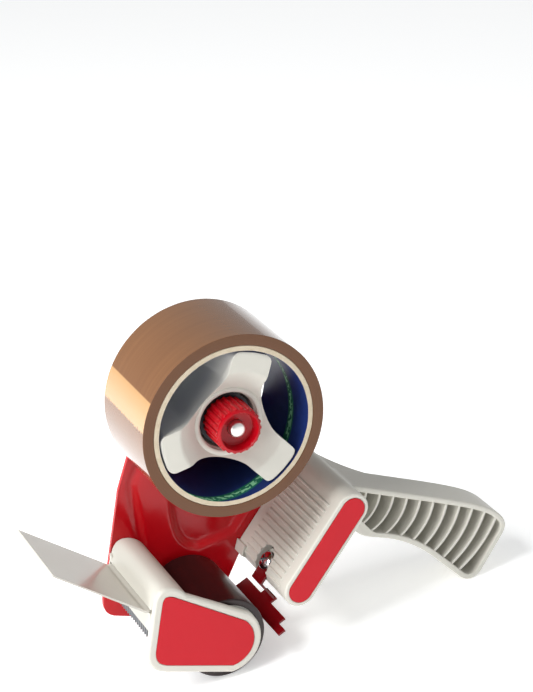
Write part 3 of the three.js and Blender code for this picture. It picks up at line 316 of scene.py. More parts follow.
def pressed_plate():
    """A fine flat net inside the outline, pushed out by the tools and given its thickness."""
    edge = inset(plate_outline(), 0.35)
    pan = pan_outline()
    fine = []
    for i, p in enumerate(edge):
        a = edge[i - 1]
        cuts = max(1, round((p - a).length / 2.0))
        fine += [a.lerp(p, k / cuts) for k in range(1, cuts + 1)]
    points = list(fine)
    pitch = 1.6
    low = Vector((min(p.x for p in edge), min(p.y for p in edge)))
    high = Vector((max(p.x for p in edge), max(p.y for p in edge)))
    row = 0
    z = low.y
    while z < high.y:
        x = low.x + (row % 2) * pitch / 2
        while x < high.x:
            spot = Vector((x, z))
            if reach(spot, edge) < -pitch * 0.6:
                points.append(spot)
            x += pitch
        z += pitch * 0.87
        row += 1
    loop = [(i, (i + 1) % len(fine)) for i in range(len(fine))]
    verts, _, faces = geometry.delaunay_2d_cdt(points, loop, [], 1, 1e-5)[:3]
    mesh = bpy.data.meshes.new("plate")
    mesh.from_pydata([(v.x, PLATE_IN + pressing(v, pan), v.y) for v in verts], [], faces)
    bm = bmesh.new()
    bm.from_mesh(mesh)
    bmesh.ops.recalc_face_normals(bm, faces=bm.faces)
    if sum(f.normal.y * f.calc_area() for f in bm.faces) > 0:
        bmesh.ops.reverse_faces(bm, faces=bm.faces)
    plate = as_object_open(bm, "plate")
    solid = plate.modifiers.new("sheet", "SOLIDIFY")
    solid.thickness = SHEET
    solid.offset = -1
    rounded = plate.modifiers.new("edge", "BEVEL")
    rounded.width = 0.35
    rounded.segments = 2
    rounded.limit_method = "ANGLE"
    rounded.angle_limit = math.radians(60)
    return evaluated(plate)


def as_object_open(bm, name):
    """A working object from an open sheet, whose faces keep their side."""
    mesh = bpy.data.meshes.new(name)
    bm.to_mesh(mesh)
    bm.free()
    obj = bpy.data.objects.new(name, mesh)
    scene.collection.objects.link(obj)
    return obj


def material(name, base, other, roughness, spread=0.05, patch=14.0, grain=0.5, relief=0.02, metallic=0.0,
             coat=0.0, gloss_level=0.5):
    """A finish whose colour drifts between two hex values in patches and whose surface has a fine grain.
    Patch and grain are in millimetres."""
    made = bpy.data.materials.new(name)
    made.use_nodes = True
    tree = made.node_tree
    shader = tree.nodes["Principled BSDF"]
    place = add(tree, "ShaderNodeTexCoord").outputs["Object"]
    drift = add(tree, "ShaderNodeTexNoise", {"Vector": place, "Scale": 1000 / patch, "Detail": 3.0})
    tint = add(tree, "ShaderNodeMix", {"Factor": drift.outputs["Fac"]}, data_type="RGBA")
    tint.inputs["A"].default_value = colour(base)
    tint.inputs["B"].default_value = colour(other)
    tree.links.new(tint.outputs["Result"], shader.inputs["Base Color"])
    speck = add(tree, "ShaderNodeTexNoise", {"Vector": place, "Scale": 1000 / grain, "Detail": 4.0})
    gloss = add(tree, "ShaderNodeMapRange", {"Value": speck.outputs["Fac"], "To Min": roughness - spread,
                                            "To Max": roughness + spread})
    tree.links.new(gloss.outputs["Result"], shader.inputs["Roughness"])
    bump = add(tree, "ShaderNodeBump", {"Height": speck.outputs["Fac"], "Strength": relief * 10,
                                       "Distance": 0.0001})
    tree.links.new(bump.outputs["Normal"], shader.inputs["Normal"])
    shader.inputs["Metallic"].default_value = metallic
    shader.inputs["Specular IOR Level"].default_value = gloss_level
    shader.inputs["Coat Weight"].default_value = coat
    shader.inputs["Coat Roughness"].default_value = 0.06
    return made


# Stove enamel on pressed steel: a deep wet red with a slight orange peel under a clear gloss
enamel = material("stove_enamel_red", "#cc0a18", "#bc0815", 0.15, spread=0.04, patch=40, grain=3.0, relief=0.012,
                  gloss_level=0.38)
finished(pressed_plate(), "side_plate_pressed", [enamel], "frame", "side_plate", slot="red_paint", sharp=50)

# ---------------------------------------------------------------- grip and ridged block
# One moulding in light grey ABS: the pistol grip, which is open on the near side and stiffened by a row of curved
# ribs, and the ridged block in front of it that the tape is laid over. Two screws through the plate hold it.

MOULD_FAR = PLATE_IN - 0.3
COVER_IN, COVER_OUT = -27.0, -30.0
SLAB_NEAR = COVER_OUT + 1.6
SLAB_TOP = slab_point(SLAB_TOP_RUN, SLAB_MIDDLE)
SLAB_LOW = slab_point(SLAB_LOW_RUN, SLAB_MIDDLE)
LABEL_RECESS = 0.5


def prism(points, y0, y1, near=0.0, far=0.0, steps=4):
    """A side view outline made solid between two planes, its ends rounded in, or flared out by a negative size."""
    rings = []
    if near < 0:
        rings.append((y0 - 1, near))
    quarters = [math.pi / 2 * k / steps for k in range(steps + 1)]
    if near:
        rings += [(y0 + abs(near) * (1 - math.cos(a)), near * (1 - math.sin(a))) for a in quarters]
    else:
        rings.append((y0, 0.0))
    if far:
        rings += [(y1 - abs(far) * (1 - math.sin(a)), far * (1 - math.cos(a))) for a in quarters]
    else:
        rings.append((y1, 0.0))
    if far < 0:
        rings.append((y1 + 1, far))
    bm = bmesh.new()
    loops = []
    for y, depth in rings:
        loops.append([bm.verts.new((p.x, y, p.y)) for p in (inset(points, depth) if depth else points)])
    for a, b in zip(loops, loops[1:]):
        for i in range(len(points)):
            bm.faces.new((a[i - 1], a[i], b[i], b[i - 1]))
    bm.faces.new(loops[0])
    bm.faces.new(loops[-1])
    return as_object(bm)


def lathe(profile, x=0.0, z=0.0, steps=64):
    """A profile of (radius, y) pairs turned about the Y axis, from the axis to the axis or closed on itself."""
    bm = bmesh.new()
    rings = []
    for r, y in profile:
        if r < 1e-6:
            rings.append([bm.verts.new((x, y, z))])
        else:
            rings.append([bm.verts.new((x + r * math.cos(a), y, z + r * math.sin(a)))
                          for a in (math.tau * k / steps for k in range(steps))])
    pairs = list(zip(rings, rings[1:]))
    if len(rings[0]) > 1:
        pairs.append((rings[-1], rings[0]))
    for a, b in pairs:
        for k in range(steps):
            corners = [a[k % len(a)], a[(k + 1) % len(a)], b[(k + 1) % len(b)], b[k % len(b)]]
            bm.faces.new([v for i, v in enumerate(corners) if v not in corners[:i]])
    return as_object(bm)


def combine(base, how, *tools):
    """Joins tools to a solid (UNION), or cuts (DIFFERENCE) or keeps (INTERSECT) with them."""
    for tool in tools:
        step = base.modifiers.new("step", "BOOLEAN")
        step.operation = how
        step.solver = "MANIFOLD"
        step.object = tool
    evaluated(base)
    for tool in tools:
        bpy.data.objects.remove(tool)
    return base


def copies(count, copy, step=(0, 0, 0), swing=0.0, start=(0, 0, 0)):
    """Copies of a piece in a row, each a step on from the last, or swung round the Y axis by an angle."""
    tree = bpy.data.node_groups.new("row_of_copies", "GeometryNodeTree")
    face = tree.interface
    face.new_socket("Copy", in_out="INPUT", socket_type="NodeSocketObject")
    face.new_socket("Count", in_out="INPUT", socket_type="NodeSocketInt")
    face.new_socket("Start", in_out="INPUT", socket_type="NodeSocketVector")
    face.new_socket("Step", in_out="INPUT", socket_type="NodeSocketVector")
    face.new_socket("Swing", in_out="INPUT", socket_type="NodeSocketFloat")
    face.new_socket("Material", in_out="INPUT", socket_type="NodeSocketMaterial")
    face.new_socket("Geometry", in_out="OUTPUT", socket_type="NodeSocketGeometry")
    given = add(tree, "NodeGroupInput").outputs
    row = add(tree, "GeometryNodeMeshLine", {"Count": given["Count"], "Start Location": given["Start"],
                                            "Offset": given["Step"]}, mode="OFFSET")
    index = add(tree, "GeometryNodeInputIndex")
    angle = add(tree, "ShaderNodeMath", {0: index.outputs[0], 1: given["Swing"]}, operation="MULTIPLY")
    turn = add(tree, "ShaderNodeCombineXYZ", {"Y": angle.outputs[0]})
    source = add(tree, "GeometryNodeObjectInfo", {"Object": given["Copy"]})
    placed = add(tree, "GeometryNodeInstanceOnPoints", {"Points": row.outputs[0],
                                                       "Instance": source.outputs["Geometry"],
                                                       "Rotation": turn.outputs[0]})
    real = add(tree, "GeometryNodeRealizeInstances", {0: placed.outputs[0]})
    painted = add(tree, "GeometryNodeSetMaterial", {"Geometry": real.outputs[0], "Material": given["Material"]})
    add(tree, "NodeGroupOutput", {0: painted.outputs[0]})
    holder = as_object(bpy.data.meshes.new("row"))
    made = holder.modifiers.new("row", "NODES")
    made.node_group = tree
    values = {"Copy": copy, "Count": count, "Start": start, "Step": step, "Swing": swing}
    for item in tree.interface.items_tree:
        if item.name in values:
            made[item.identifier] = values[item.name]
    evaluated(holder)
    bpy.data.objects.remove(copy)
    return holder


def merged(*objects):
    """Several closed bodies as one mesh."""
    bm = bmesh.new()
    for obj in objects:
        bm.from_mesh(obj.data)
        bpy.data.objects.remove(obj)
    return as_object(bm)


GRIP_REACH = 93.7
DRAWN_GRIP = Vector((78, -52))
BUTT_RADIUS = 8.0
GRIP_NEAR, GRIP_FAR = -14.0, 12.0
GRIP_RIM, GRIP_FLOOR = 3.0, 3.0


def grip_point(x, z):
    longer = x * (GRIP_REACH / DRAWN_GRIP.length - 1) if x > 0 else 0.0
    return Vector((SLAB_TOP.x + x + longer, SLAB_TOP.y + z + longer * DRAWN_GRIP.y / DRAWN_GRIP.x))


def grip_outline():
    butt = grip_point(*DRAWN_GRIP)
    run = [grip_point(-1, 8.2)]
    for a, b, c in (((10, 4.6), (30, -1.6), (56, -9.5)), ((74, -15.2), (86, -19.2), (92, -24.4)),
                    ((97, -28.2), (98.6, -32.2), (96, -37.2))):
        run += bezier(run[-1], grip_point(*a), grip_point(*b), grip_point(*c), 12)
    run += arc(butt.x, butt.y, BUTT_RADIUS, -30, -132, 12)
    run.append(grip_point(57, -44.2))
    for a, b, c in (((49, -37.2), (40, -31.2), (28, -27.6)), ((21, -25.6), (14, -24.8), (10.5, -20.8))):
        run += bezier(run[-1], grip_point(*a), grip_point(*b), grip_point(*c), 10)
    run.append(grip_point(0, -8))
    return joined(run)


def stadium(grow=0.0, steps=24):
    r = SLAB_RADIUS + grow
    tilt = math.degrees(SLAB_ANGLE)
    return joined(arc(SLAB_TOP.x, SLAB_TOP.y, r, tilt - 90, tilt + 90, steps),
                  arc(SLAB_LOW.x, SLAB_LOW.y, r, tilt + 90, tilt + 270, steps))


def slab_box(run0, run1, distance0, distance1, y0, y1):
    corners = ((run0, distance0), (run0, distance1), (run1, distance1), (run1, distance0))
    return prism([slab_point(*c) for c in corners], y0, y1)


outline = grip_outline()
grip = prism(outline, GRIP_NEAR, GRIP_FAR, near=1.1, far=5.0, steps=6)
FLARE = MOULD_FAR - GRIP_FAR + 6
flare_start = SLAB_TOP.x + SLAB_RADIUS - 2
plan = joined(
    [(flare_start - 8, GRIP_FAR - 6), (flare_start + FLARE, GRIP_FAR - 6), (flare_start + FLARE, GRIP_FAR - 4)],
    bezier((flare_start + FLARE, GRIP_FAR - 4), (flare_start + FLARE / 2, GRIP_FAR - 1),
           (flare_start + 3, MOULD_FAR - 6), (flare_start, MOULD_FAR), 16),
    [(flare_start - 8, MOULD_FAR)],
)
column = prism(plan, 0, 90)
column.data.transform(Matrix.Translation((0, 0, SLAB_TOP.y - 60)) @ Matrix(((1, 0, 0, 0), (0, 0, 1, 0), (0, 1, 0, 0), (0, 0, 0, 1))))
column.data.flip_normals()
flare = combine(column, "INTERSECT", prism(inset(outline, 0.4), GRIP_FAR - 7, MOULD_FAR))

pocket = prism(inset(outline, GRIP_RIM), GRIP_NEAR, GRIP_FAR - GRIP_FLOOR, near=-0.7, far=1.5)
web = [grip_point(x, z) for x, z in ((-4, -8), (11.3, -13.3), (19, -21.6), (26, -25.8), (18, -34), (-4, -34))]
combine(pocket, "DIFFERENCE", prism(stadium(), -60, 60), prism(inset(web, 0.0), -60, 60))
block = prism(stadium(), SLAB_NEAR, MOULD_FAR, near=1.0, far=0.6, steps=5)
hollow = prism(stadium(-2.5), SLAB_NEAR + 2.5, MOULD_FAR + 1)
TOE = ((-1, 3), (-2, -1.4), (-7.5, 0.8), (-7, 6))
foot = prism([slab_point(SLAB_LOW_RUN + run, FACE_DISTANCE + past) for run, past in TOE],
             MOULD_FAR - 9, MOULD_FAR, near=0.4)

NOTCH_HALF, NOTCH_DEPTH = 6.3, 4.2
GUARD_SCREW_RUN = SLAB_LOW_RUN + 0.2
OUTWARD = Vector((-math.sin(SLAB_ANGLE), math.cos(SLAB_ANGLE)))


def facing(obj, direction, place, y=0.0):
    """Turns a piece drawn along Y so that its near side looks along a side view direction, at a place."""
    toward = Vector((direction.x, 0, direction.y)).normalized()
    spin = Vector((0, -1, 0)).rotation_difference(toward).to_matrix().to_4x4()
    obj.data.transform(Matrix.Translation((place.x, y, place.y)) @ spin)
    return obj


notch_top = slab_point(GUARD_SCREW_RUN + 1.5, FACE_DISTANCE + NOTCH_DEPTH)
notch = combine(
    slab_box(GUARD_SCREW_RUN - 20, GUARD_SCREW_RUN + 1.5, FACE_DISTANCE - 20, FACE_DISTANCE + NOTCH_DEPTH,
             -NOTCH_HALF, NOTCH_HALF),
    "UNION", facing(lathe([(0, -20), (NOTCH_HALF, -20), (NOTCH_HALF, 0), (0, 0)], steps=32), OUTWARD, notch_top))
pad = slab_box(GUARD_SCREW_RUN - 12, GUARD_SCREW_RUN + 6, FACE_DISTANCE, FACE_DISTANCE + NOTCH_DEPTH + 6,
               -NOTCH_HALF - 2.5, NOTCH_HALF + 2.5)
combine(hollow, "DIFFERENCE", pad)
label_seat = prism(stadium(-2.0), SLAB_NEAR - 1, SLAB_NEAR + LABEL_RECESS)

RIB_COUNT, RIB_PITCH, RIB_THICKNESS, RIB_SWEEP = 11, 7.75, 1.4, 80


def rib(index):
    """One rib: an arc that leaves the top rim squarely and sweeps down towards the block."""
    lean = math.degrees(-0.003 * index * index)
    top = grip_point(15.1 + RIB_PITCH * index, 2.5 - 2.62 * index)
    radius = 20 + 0.4 * index * index
    x = top.x - radius * math.cos(math.radians(lean))
    z = top.y - radius * math.sin(math.radians(lean))
    curve = joined(arc(x, z, radius + RIB_THICKNESS / 2, lean, lean - RIB_SWEEP, 24),
                   arc(x, z, radius - RIB_THICKNESS / 2, lean - RIB_SWEEP, lean, 24))
    return prism(curve, GRIP_NEAR + 0.5, GRIP_FAR - GRIP_FLOOR + 0.4, near=0.5, steps=3)


room = prism(inset(outline, GRIP_RIM - 0.4), GRIP_NEAR - 1, GRIP_FAR - GRIP_FLOOR + 0.4)
ribs = rib(0)
combine(ribs, "UNION", *[rib(i) for i in range(1, RIB_COUNT)])
combine(ribs, "INTERSECT", room)

RIDGE_COUNT, RIDGE_PITCH, RIDGE_HEIGHT = 14, 3.6, 0.7


def ridge(run):
    """One low round-topped ridge across the block's face, its foot sunk in the skin."""
    past = max(SLAB_LOW_RUN - run, 0)
    skin = SLAB_MIDDLE - math.sqrt(SLAB_RADIUS ** 2 - past ** 2)
    crest = [slab_point(run + 0.85 * math.cos(a), skin + 0.3 - (RIDGE_HEIGHT + 0.3) * math.sin(a))
             for a in (math.pi * k / 6 for k in range(7))]
    return prism(crest + [slab_point(run - 0.85, skin + 0.8), slab_point(run + 0.85, skin + 0.8)],
                 TAPE_NEAR + 3.5, TAPE_FAR - 5, near=0.3, far=0.3, steps=2)


FLAT_RIDGES = 12
down = slab_point(-RIDGE_PITCH, 0) - slab_point(0, 0)
rows = copies(FLAT_RIDGES, ridge(SLAB_TOP_RUN - 4.7), step=(down.x, 0, down.y))
low_ridges = [ridge(SLAB_TOP_RUN - 4.7 - i * RIDGE_PITCH) for i in range(FLAT_RIDGES, RIDGE_COUNT)]

combine(grip, "UNION", flare, block, foot, rows, *low_ridges)
combine(grip, "DIFFERENCE", pocket)
combine(grip, "UNION", ribs)
combine(grip, "DIFFERENCE", hollow, notch, label_seat)

# Light grey ABS from a spark-eroded tool: satin, with a fine even grain and faint flow shading
grey_abs = material("moulded_abs_light_grey", "#d4d2c8", "#cdcac0", 0.42, spread=0.06, patch=30, grain=0.45,
                    relief=0.03)
finished(grip, "grip_moulding_body", [grey_abs], "frame", "grip_moulding", slot="grey_plastic", sharp=32)

# ---------------------------------------------------------------- red labels
# Two printed film labels, die cut with round corners and laid in shallow seats: one on the end of the ridged
# block and one on the head's side cover.

# Screen printed vinyl: a flat strong red with a satin face and a very fine film texture
vinyl = material("screen_printed_vinyl_red", "#c81424", "#be1120", 0.36, spread=0.05, patch=25, grain=0.7,
                 relief=0.012, gloss_level=0.25)
label_near = SLAB_NEAR + LABEL_RECESS - 0.3 - 0.5
label = prism(stadium(-2.3), label_near, label_near + 0.5, near=0.2, steps=3)
finished(label, "block_label_film", [vinyl], "frame", "block_label", slot="red_label", sharp=50)

# ---------------------------------------------------------------- cutting head
# A hollow crowned bar in the same grey ABS, moulded in one with the side cover that carries the roller's axle on
# the open side. The wiper's slot runs across its front, and the blade is screwed behind its lip.


def head_crown(start):
    a = (HEAD_FRONT + 1.4, HEAD_TOP - 6)
    b = (HEAD_FRONT + 8, HEAD_TOP)
    return ([start, a]
            + bezier(a, (HEAD_FRONT + 2.6, HEAD_TOP - 1.5), (HEAD_FRONT + 5, HEAD_TOP), b, 10)
            + bezier(b, (HEAD_FRONT + 12, HEAD_TOP), (HEAD_BACK - 2.5, HEAD_TOP - 2), (HEAD_BACK, HEAD_TOP - 5), 10))


def cover_outline():
    low = ROLLER.y - COVER_RADIUS
    chin = (HEAD_FRONT + 9, low + 7.3)
    brow = (HEAD_FRONT - 1.8, low + 20)
    return joined(head_crown((HEAD_FRONT + 0.6, SLOT_Z)),
                  arc(ROLLER.x, ROLLER.y, COVER_RADIUS, 52, -82, 24),
                  [chin],
                  bezier(chin, (HEAD_FRONT + 1, low + 9), (HEAD_FRONT - 2, low + 13), brow, 12))


skirt = HEAD_BACK - 2.5
crown_outline = joined(
    [(HEAD_FRONT, LIP_Z)], head_crown((HEAD_FRONT, SLOT_Z)),
    [(HEAD_BACK, LIP_Z + 6), (skirt, LIP_Z + 6), (skirt, HEAD_TOP - 8.5), (HEAD_FRONT + 5, HEAD_TOP - 8.5),
     (HEAD_FRONT + 5, SLOT_Z + 3), (HEAD_FRONT + 10.5, SLOT_Z + 3), (HEAD_FRONT + 10.5, SLOT_Z - 3),
     (HEAD_FRONT + 3, SLOT_Z - 3), (HEAD_FRONT + 3, LIP_Z)])
end_wall = [Vector(p) for p in ((HEAD_FRONT + 0.5, LIP_Z), (HEAD_FRONT + 0.5, HEAD_TOP - 7),
                                (HEAD_BACK - 0.5, HEAD_TOP - 7), (HEAD_BACK - 0.5, LIP_Z))]
head = prism(crown_outline, COVER_IN - 0.5, MOULD_FAR, far=0.3, steps=2)
cover = prism(cover_outline(), COVER_OUT, COVER_IN, near=1.6, steps=6)
axle_boss = lathe([(0, COVER_IN - 0.2), (6, COVER_IN - 0.2), (6, TAPE_NEAR - 1), (0, TAPE_NEAR - 1)],
                  ROLLER.x, ROLLER.y, 40)
combine(head, "UNION", prism(end_wall, MOULD_FAR - 2.5, MOULD_FAR), cover, axle_boss)
slot_room = prism([Vector(p) for p in ((HEAD_FRONT - 6, SLOT_Z - 0.8), (HEAD_FRONT + 8, SLOT_Z - 0.8),
                                       (HEAD_FRONT + 8, SLOT_Z + 0.8), (HEAD_FRONT + 2, SLOT_Z + 1.0),
                                       (HEAD_FRONT - 6, SLOT_Z + 2.6))],
                  COVER_IN - 1, MOULD_FAR - 1)
COVER_RIM = 4.2


def cover_label_outline(edge):
    """The cover's outline moved in by its rim, without the dip beside the crown."""
    points = inset(cover_outline(), edge)
    return [points[i] for i in geometry.convex_hull_2d(points)]


combine(head, "DIFFERENCE", slot_room,
        prism(cover_label_outline(COVER_RIM - 0.3), COVER_OUT - 1, COVER_OUT + LABEL_RECESS))
finished(head, "cutting_head_body", [grey_abs], "frame", "cutting_head", slot="grey_plastic", sharp=32)

cover_label_near = COVER_OUT + LABEL_RECESS - 0.3 - 0.5
cover_label = prism(cover_label_outline(COVER_RIM), cover_label_near, cover_label_near + 0.5, near=0.2, steps=3)
finished(cover_label, "cover_label_film", [vinyl], "frame", "cover_label", slot="red_label", sharp=50)

# ---------------------------------------------------------------- wiper
# A flexible sheet of polypropylene with its root in the head's slot. It wipes the tape down on the parcel behind the
# blade, and it is drawn level in the slot and bent up at the slot's mouth.

WIPER_LENGTH, WIPER_ROOT = 55.5, 7.5
WIPER_RISE = math.radians(31)
WIPER_NEAR = TAPE_NEAR - 1
WIPER_STEPS, WIPER_COLUMNS = 40, 16


def wiper_middle(u):
    """The sheet's middle line: level in the slot, then up at its rise after a short bend."""
    bend = 3.0
    if u < 0:
        return Vector((HEAD_FRONT - u, SLOT_Z)), 0.0
    level = min(u, bend)
    angle = WIPER_RISE * smooth(u / bend)
    mean = WIPER_RISE * level / bend * 0.5
    spot = Vector((HEAD_FRONT - level * math.cos(mean), SLOT_Z + level * math.sin(mean)))
    if u > bend:
        spot += Vector((-math.cos(WIPER_RISE), math.sin(WIPER_RISE))) * (u - bend)
    return spot, angle


bm = bmesh.new()
stations = [-WIPER_ROOT + WIPER_ROOT * k / 5 for k in range(5)] + [3.0 * k / 8 for k in range(8)]
stations += [3.0 + (WIPER_LENGTH - 3.0) * k / WIPER_STEPS for k in range(WIPER_STEPS + 1)]
skins = []
for side in (-1, 1):
    net = []
    for u in stations:
        spot, angle = wiper_middle(u)
        thin = 0.5 - 0.18 * smooth(u / WIPER_LENGTH)
        off = Vector((math.sin(angle), math.cos(angle))) * thin * side
        net.append([bm.verts.new((spot.x + off.x, WIPER_NEAR + (TAPE_FAR - WIPER_NEAR) * k / WIPER_COLUMNS,
                                  spot.y + off.y)) for k in range(WIPER_COLUMNS + 1)])
    skins.append(net)
last, width = len(stations) - 1, WIPER_COLUMNS
for net in skins:
    for i in range(last):
        for k in range(width):
            bm.faces.new((net[i][k], net[i + 1][k], net[i + 1][k + 1], net[i][k + 1]))
under, over = skins
for i in range(last):
    for k in (0, width):
        bm.faces.new((under[i][k], under[i + 1][k], over[i + 1][k], over[i][k]))
for k in range(width):
    for i in (0, last):
        bm.faces.new((under[i][k], under[i][k + 1], over[i][k + 1], over[i][k]))
wiper = as_object(bm)
# Calendered polypropylene sheet: smooth and glossy, so the red plate and the pale head mirror softly in it
poly = material("calendered_polypropylene_sheet", "#cfccc3", "#c8c4ba", 0.2, spread=0.04, patch=35, grain=4.0,
                relief=0.006)
finished(wiper, "wiper_sheet", [poly], "frame", "wiper_root", "wiper_flap", slot="flap_plastic", sharp=50)
wiper.parent = None
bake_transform(wiper)

# ---------------------------------------------------------------- saw blade
# A strip of hardened steel with a row of stamped teeth, screwed behind the lip so that the points stand just below.

BLADE_X, BLADE_SHEET = HEAD_FRONT + 3.3, 0.8
TOOTH_PITCH, TOOTH_HEIGHT = 2.5, 6.5
TOOTH_COUNT = int((TAPE_FAR - TAPE_NEAR + 2) / TOOTH_PITCH)
TOOTH_ROOT = LIP_Z - 2.9


def plate_along(points, x0, x1):
    """A front view outline (y, z) made solid from x0 to x1."""
    obj = prism(points, x0, x1)
    obj.data.transform(Matrix(((0, 1, 0, 0), (1, 0, 0, 0), (0, 0, 1, 0), (0, 0, 0, 1))))
    obj.data.flip_normals()
    return obj


tooth = plate_along([Vector(p) for p in ((0, 0.3), (0, 0), (TOOTH_PITCH / 2 - 0.1, -TOOTH_HEIGHT),
                                         (TOOTH_PITCH / 2 + 0.1, -TOOTH_HEIGHT), (TOOTH_PITCH, 0),
                                         (TOOTH_PITCH, 0.3))], BLADE_X, BLADE_X + BLADE_SHEET)
teeth = copies(TOOTH_COUNT, tooth, step=(0, TOOTH_PITCH, 0), start=(0, WIPER_NEAR, TOOTH_ROOT))
strip = plate_along([Vector(p) for p in ((WIPER_NEAR, TOOTH_ROOT + 0.2), (WIPER_NEAR + TOOTH_COUNT * TOOTH_PITCH, TOOTH_ROOT + 0.2),
                                         (WIPER_NEAR + TOOTH_COUNT * TOOTH_PITCH, SLOT_Z - 3.3), (WIPER_NEAR, SLOT_Z - 3.3))],
                    BLADE_X, BLADE_X + BLADE_SHEET)
# Hardened strip steel, ground after stamping: grey, with dull streaks across the strip
strip_steel = material("ground_strip_steel", "#8b8d90", "#6c6e72", 0.36, spread=0.08, patch=5, grain=0.8,
                       relief=0.03, metallic=1.0)
finished(merged(teeth, strip), "saw_blade", [strip_steel], "frame", "cutting_blade", slot="steel", sharp=30)

# ---------------------------------------------------------------- tape guard
# A stamped tongue of the same red steel, screwed in the block's notch, with a stepped bar that stands behind the roller
# and keeps the tape from falling back. Its red is the plate's enamel, painted darker as shade.

GUARD_SHEET, GUARD_GAP = 1.2, 5.6
GUARD_HALF = TAPE_FAR - 2
GUARD_EDGE = ROLLER.x + ROLLER_RADIUS + GUARD_GAP
GUARD_SLOPE = 0.53


def bent_sheet(chain, y0, y1):
    """A strip of the guard's sheet along a chain of points, lying to their left, with its edges broken."""
    points = [Vector(p) for p in chain]
    other = []
    for i, p in enumerate(points):
        before = (p - points[max(i - 1, 0)]) if i else (points[1] - p)
        after = (points[i + 1] - p) if i + 1 < len(points) else before
        first, second = before.normalized(), after.normalized()
        normal = Vector((-first.y - second.y, first.x + second.x)).normalized()
        other.append(p + normal * (GUARD_SHEET / normal.dot(Vector((-first.y, first.x)))))
    return prism(points + other[::-1], y0, y1, near=0.15, far=0.15, steps=1)


bed = FACE_DISTANCE + NOTCH_DEPTH - 0.3
guard_bend = slab_point(SLAB_LOW_RUN - SLAB_RADIUS - 2, bed)
guard_drop = Vector((SLAB_LOW.x - 2, SLAB_LOW.y - SLAB_RADIUS - 7.4))


def along_guard(x):
    return Vector((x, guard_drop.y + (x - guard_drop.x) * math.tan(GUARD_SLOPE)))


def guard_bar(x0, x1, y0, y1):
    return bent_sheet([along_guard(x0), along_guard(x1)], y0, y1)


guard = bent_sheet([guard_drop, guard_bend, slab_point(GUARD_SCREW_RUN + 4, bed)], -NOTCH_HALF + 1, NOTCH_HALF - 1)
combine(guard, "UNION",
        guard_bar(GUARD_EDGE + 5, guard_drop.x + 0.4, -NOTCH_HALF + 0.6, NOTCH_HALF - 0.6),
        guard_bar(GUARD_EDGE, GUARD_EDGE + 7, -GUARD_HALF, GUARD_HALF),
        guard_bar(GUARD_EDGE, GUARD_EDGE + 3.6, COVER_OUT - 0.5, -GUARD_HALF + 0.5))
# The plate's red enamel, painted darker to stand in for the shade the guard lies in below the block
guard_enamel_painted_shade = material("stove_enamel_red_painted_shade", "#74060d", "#65050b", 0.24, spread=0.04, patch=20, grain=3.0,
                        relief=0.012)
finished(guard, "tape_guard_strip", [guard_enamel_painted_shade], "frame", "tape_guard", slot="red_paint", sharp=30)

# ---------------------------------------------------------------- screws
# Pan head screws with a cross recess: four plated ones through the side plate, one bright one on the guard and
# two small ones that hold the blade.


def pan_screw(head, height, shank, length, cross=0.6):
    """A screw along Y with its domed head towards -Y and a cross recess in it."""
    dome = [(0, -height)] + [(head * math.sin(a), -height * (0.35 + 0.65 * math.cos(a)))
                             for a in (math.pi / 2 * k / 8 for k in range(1, 9))]
    body = lathe(dome + [(head, 0), (shank, 0), (shank, length - 1), (shank - 0.8, length), (0, length)], steps=40)
    arm, half = head * 0.55, head * 0.13 * cross / 0.6
    bar = [Vector(p) for p in ((-arm, -half), (arm, -half), (arm, half), (-arm, half))]
    post = [Vector((p.y, p.x)) for p in reversed(bar)]
    return combine(body, "DIFFERENCE", prism(bar, -height - 1, -height * 0.3), prism(post, -height - 1, -height * 0.3))


HEAD_SCREWS = [Vector((HEAD_FRONT + 9.5, HEAD_TOP - 6.5)), Vector((HEAD_FRONT + 9.5, LIP_Z + 4.5))]
BLOCK_SCREWS = [slab_point(SLAB_TOP_RUN - 2, SLAB_MIDDLE), slab_point(SLAB_LOW_RUN + 8, SLAB_MIDDLE)]


def plate_screw_pair(first, second):
    """Two like screws through the plate, pointing back into the plastic."""
    screw = pan_screw(3.6, 2.3, 1.9, 12)
    screw.data.transform(Matrix.Rotation(math.pi, 4, "X"))
    step = second - first
    return copies(2, screw, start=(first.x, PLATE_OUT + 0.3, first.y), step=(step.x, 0, step.y))


# Zinc plated steel: pale grey with a soft sheen and slightly cloudy passivation
zinc = material("zinc_plated_steel", "#b9bcc0", "#a3a7ad", 0.3, spread=0.08, patch=4, grain=0.5, relief=0.02,
                metallic=1.0)
nickel = material("nickel_plated_steel", "#f1f0ec", "#e6e5e0", 0.36, spread=0.05, patch=3, grain=0.6, relief=0.01,
                  metallic=1.0)
chrome = material("chromed_steel", "#dfe1e4", "#d3d6da", 0.1, spread=0.03, patch=3, grain=0.6, relief=0.006,
                  metallic=1.0)
finished(plate_screw_pair(*BLOCK_SCREWS), "grip_screws", [zinc], "frame", "grip_screw_1", "grip_screw_2",
         slot="steel")
finished(plate_screw_pair(*HEAD_SCREWS), "head_screws", [zinc], "frame", "head_screw_1", "head_screw_2",
         slot="steel")
guard_seat = slab_point(GUARD_SCREW_RUN, bed - GUARD_SHEET - 0.3)
finished(facing(pan_screw(5, 3.1, 1.9, 9), OUTWARD, guard_seat), "guard_screw_chromed", [chrome], "frame",
         "guard_screw", slot="chrome")
BLADE_SCREW_SPAN = TAPE_FAR - TAPE_NEAR - 24
blade_screw = facing(pan_screw(2.5, 1.5, 1.3, 3), Vector((1, 0)), Vector((0, 0)))
blade_screws = copies(2, blade_screw, step=(0, BLADE_SCREW_SPAN, 0),
                      start=(BLADE_X + BLADE_SHEET + 0.3, TAPE_NEAR + 12, LIP_Z + 5.2))
finished(blade_screws, "blade_screws", [zinc], "frame", "blade_screw_1", "blade_screw_2", slot="steel")

# ---------------------------------------------------------------- roller
# A smooth rubber sleeve on a white plastic drum, with a bush in each end, turning on a steel axle that is riveted
# over outside the plate. The tape is pressed on the parcel by it.

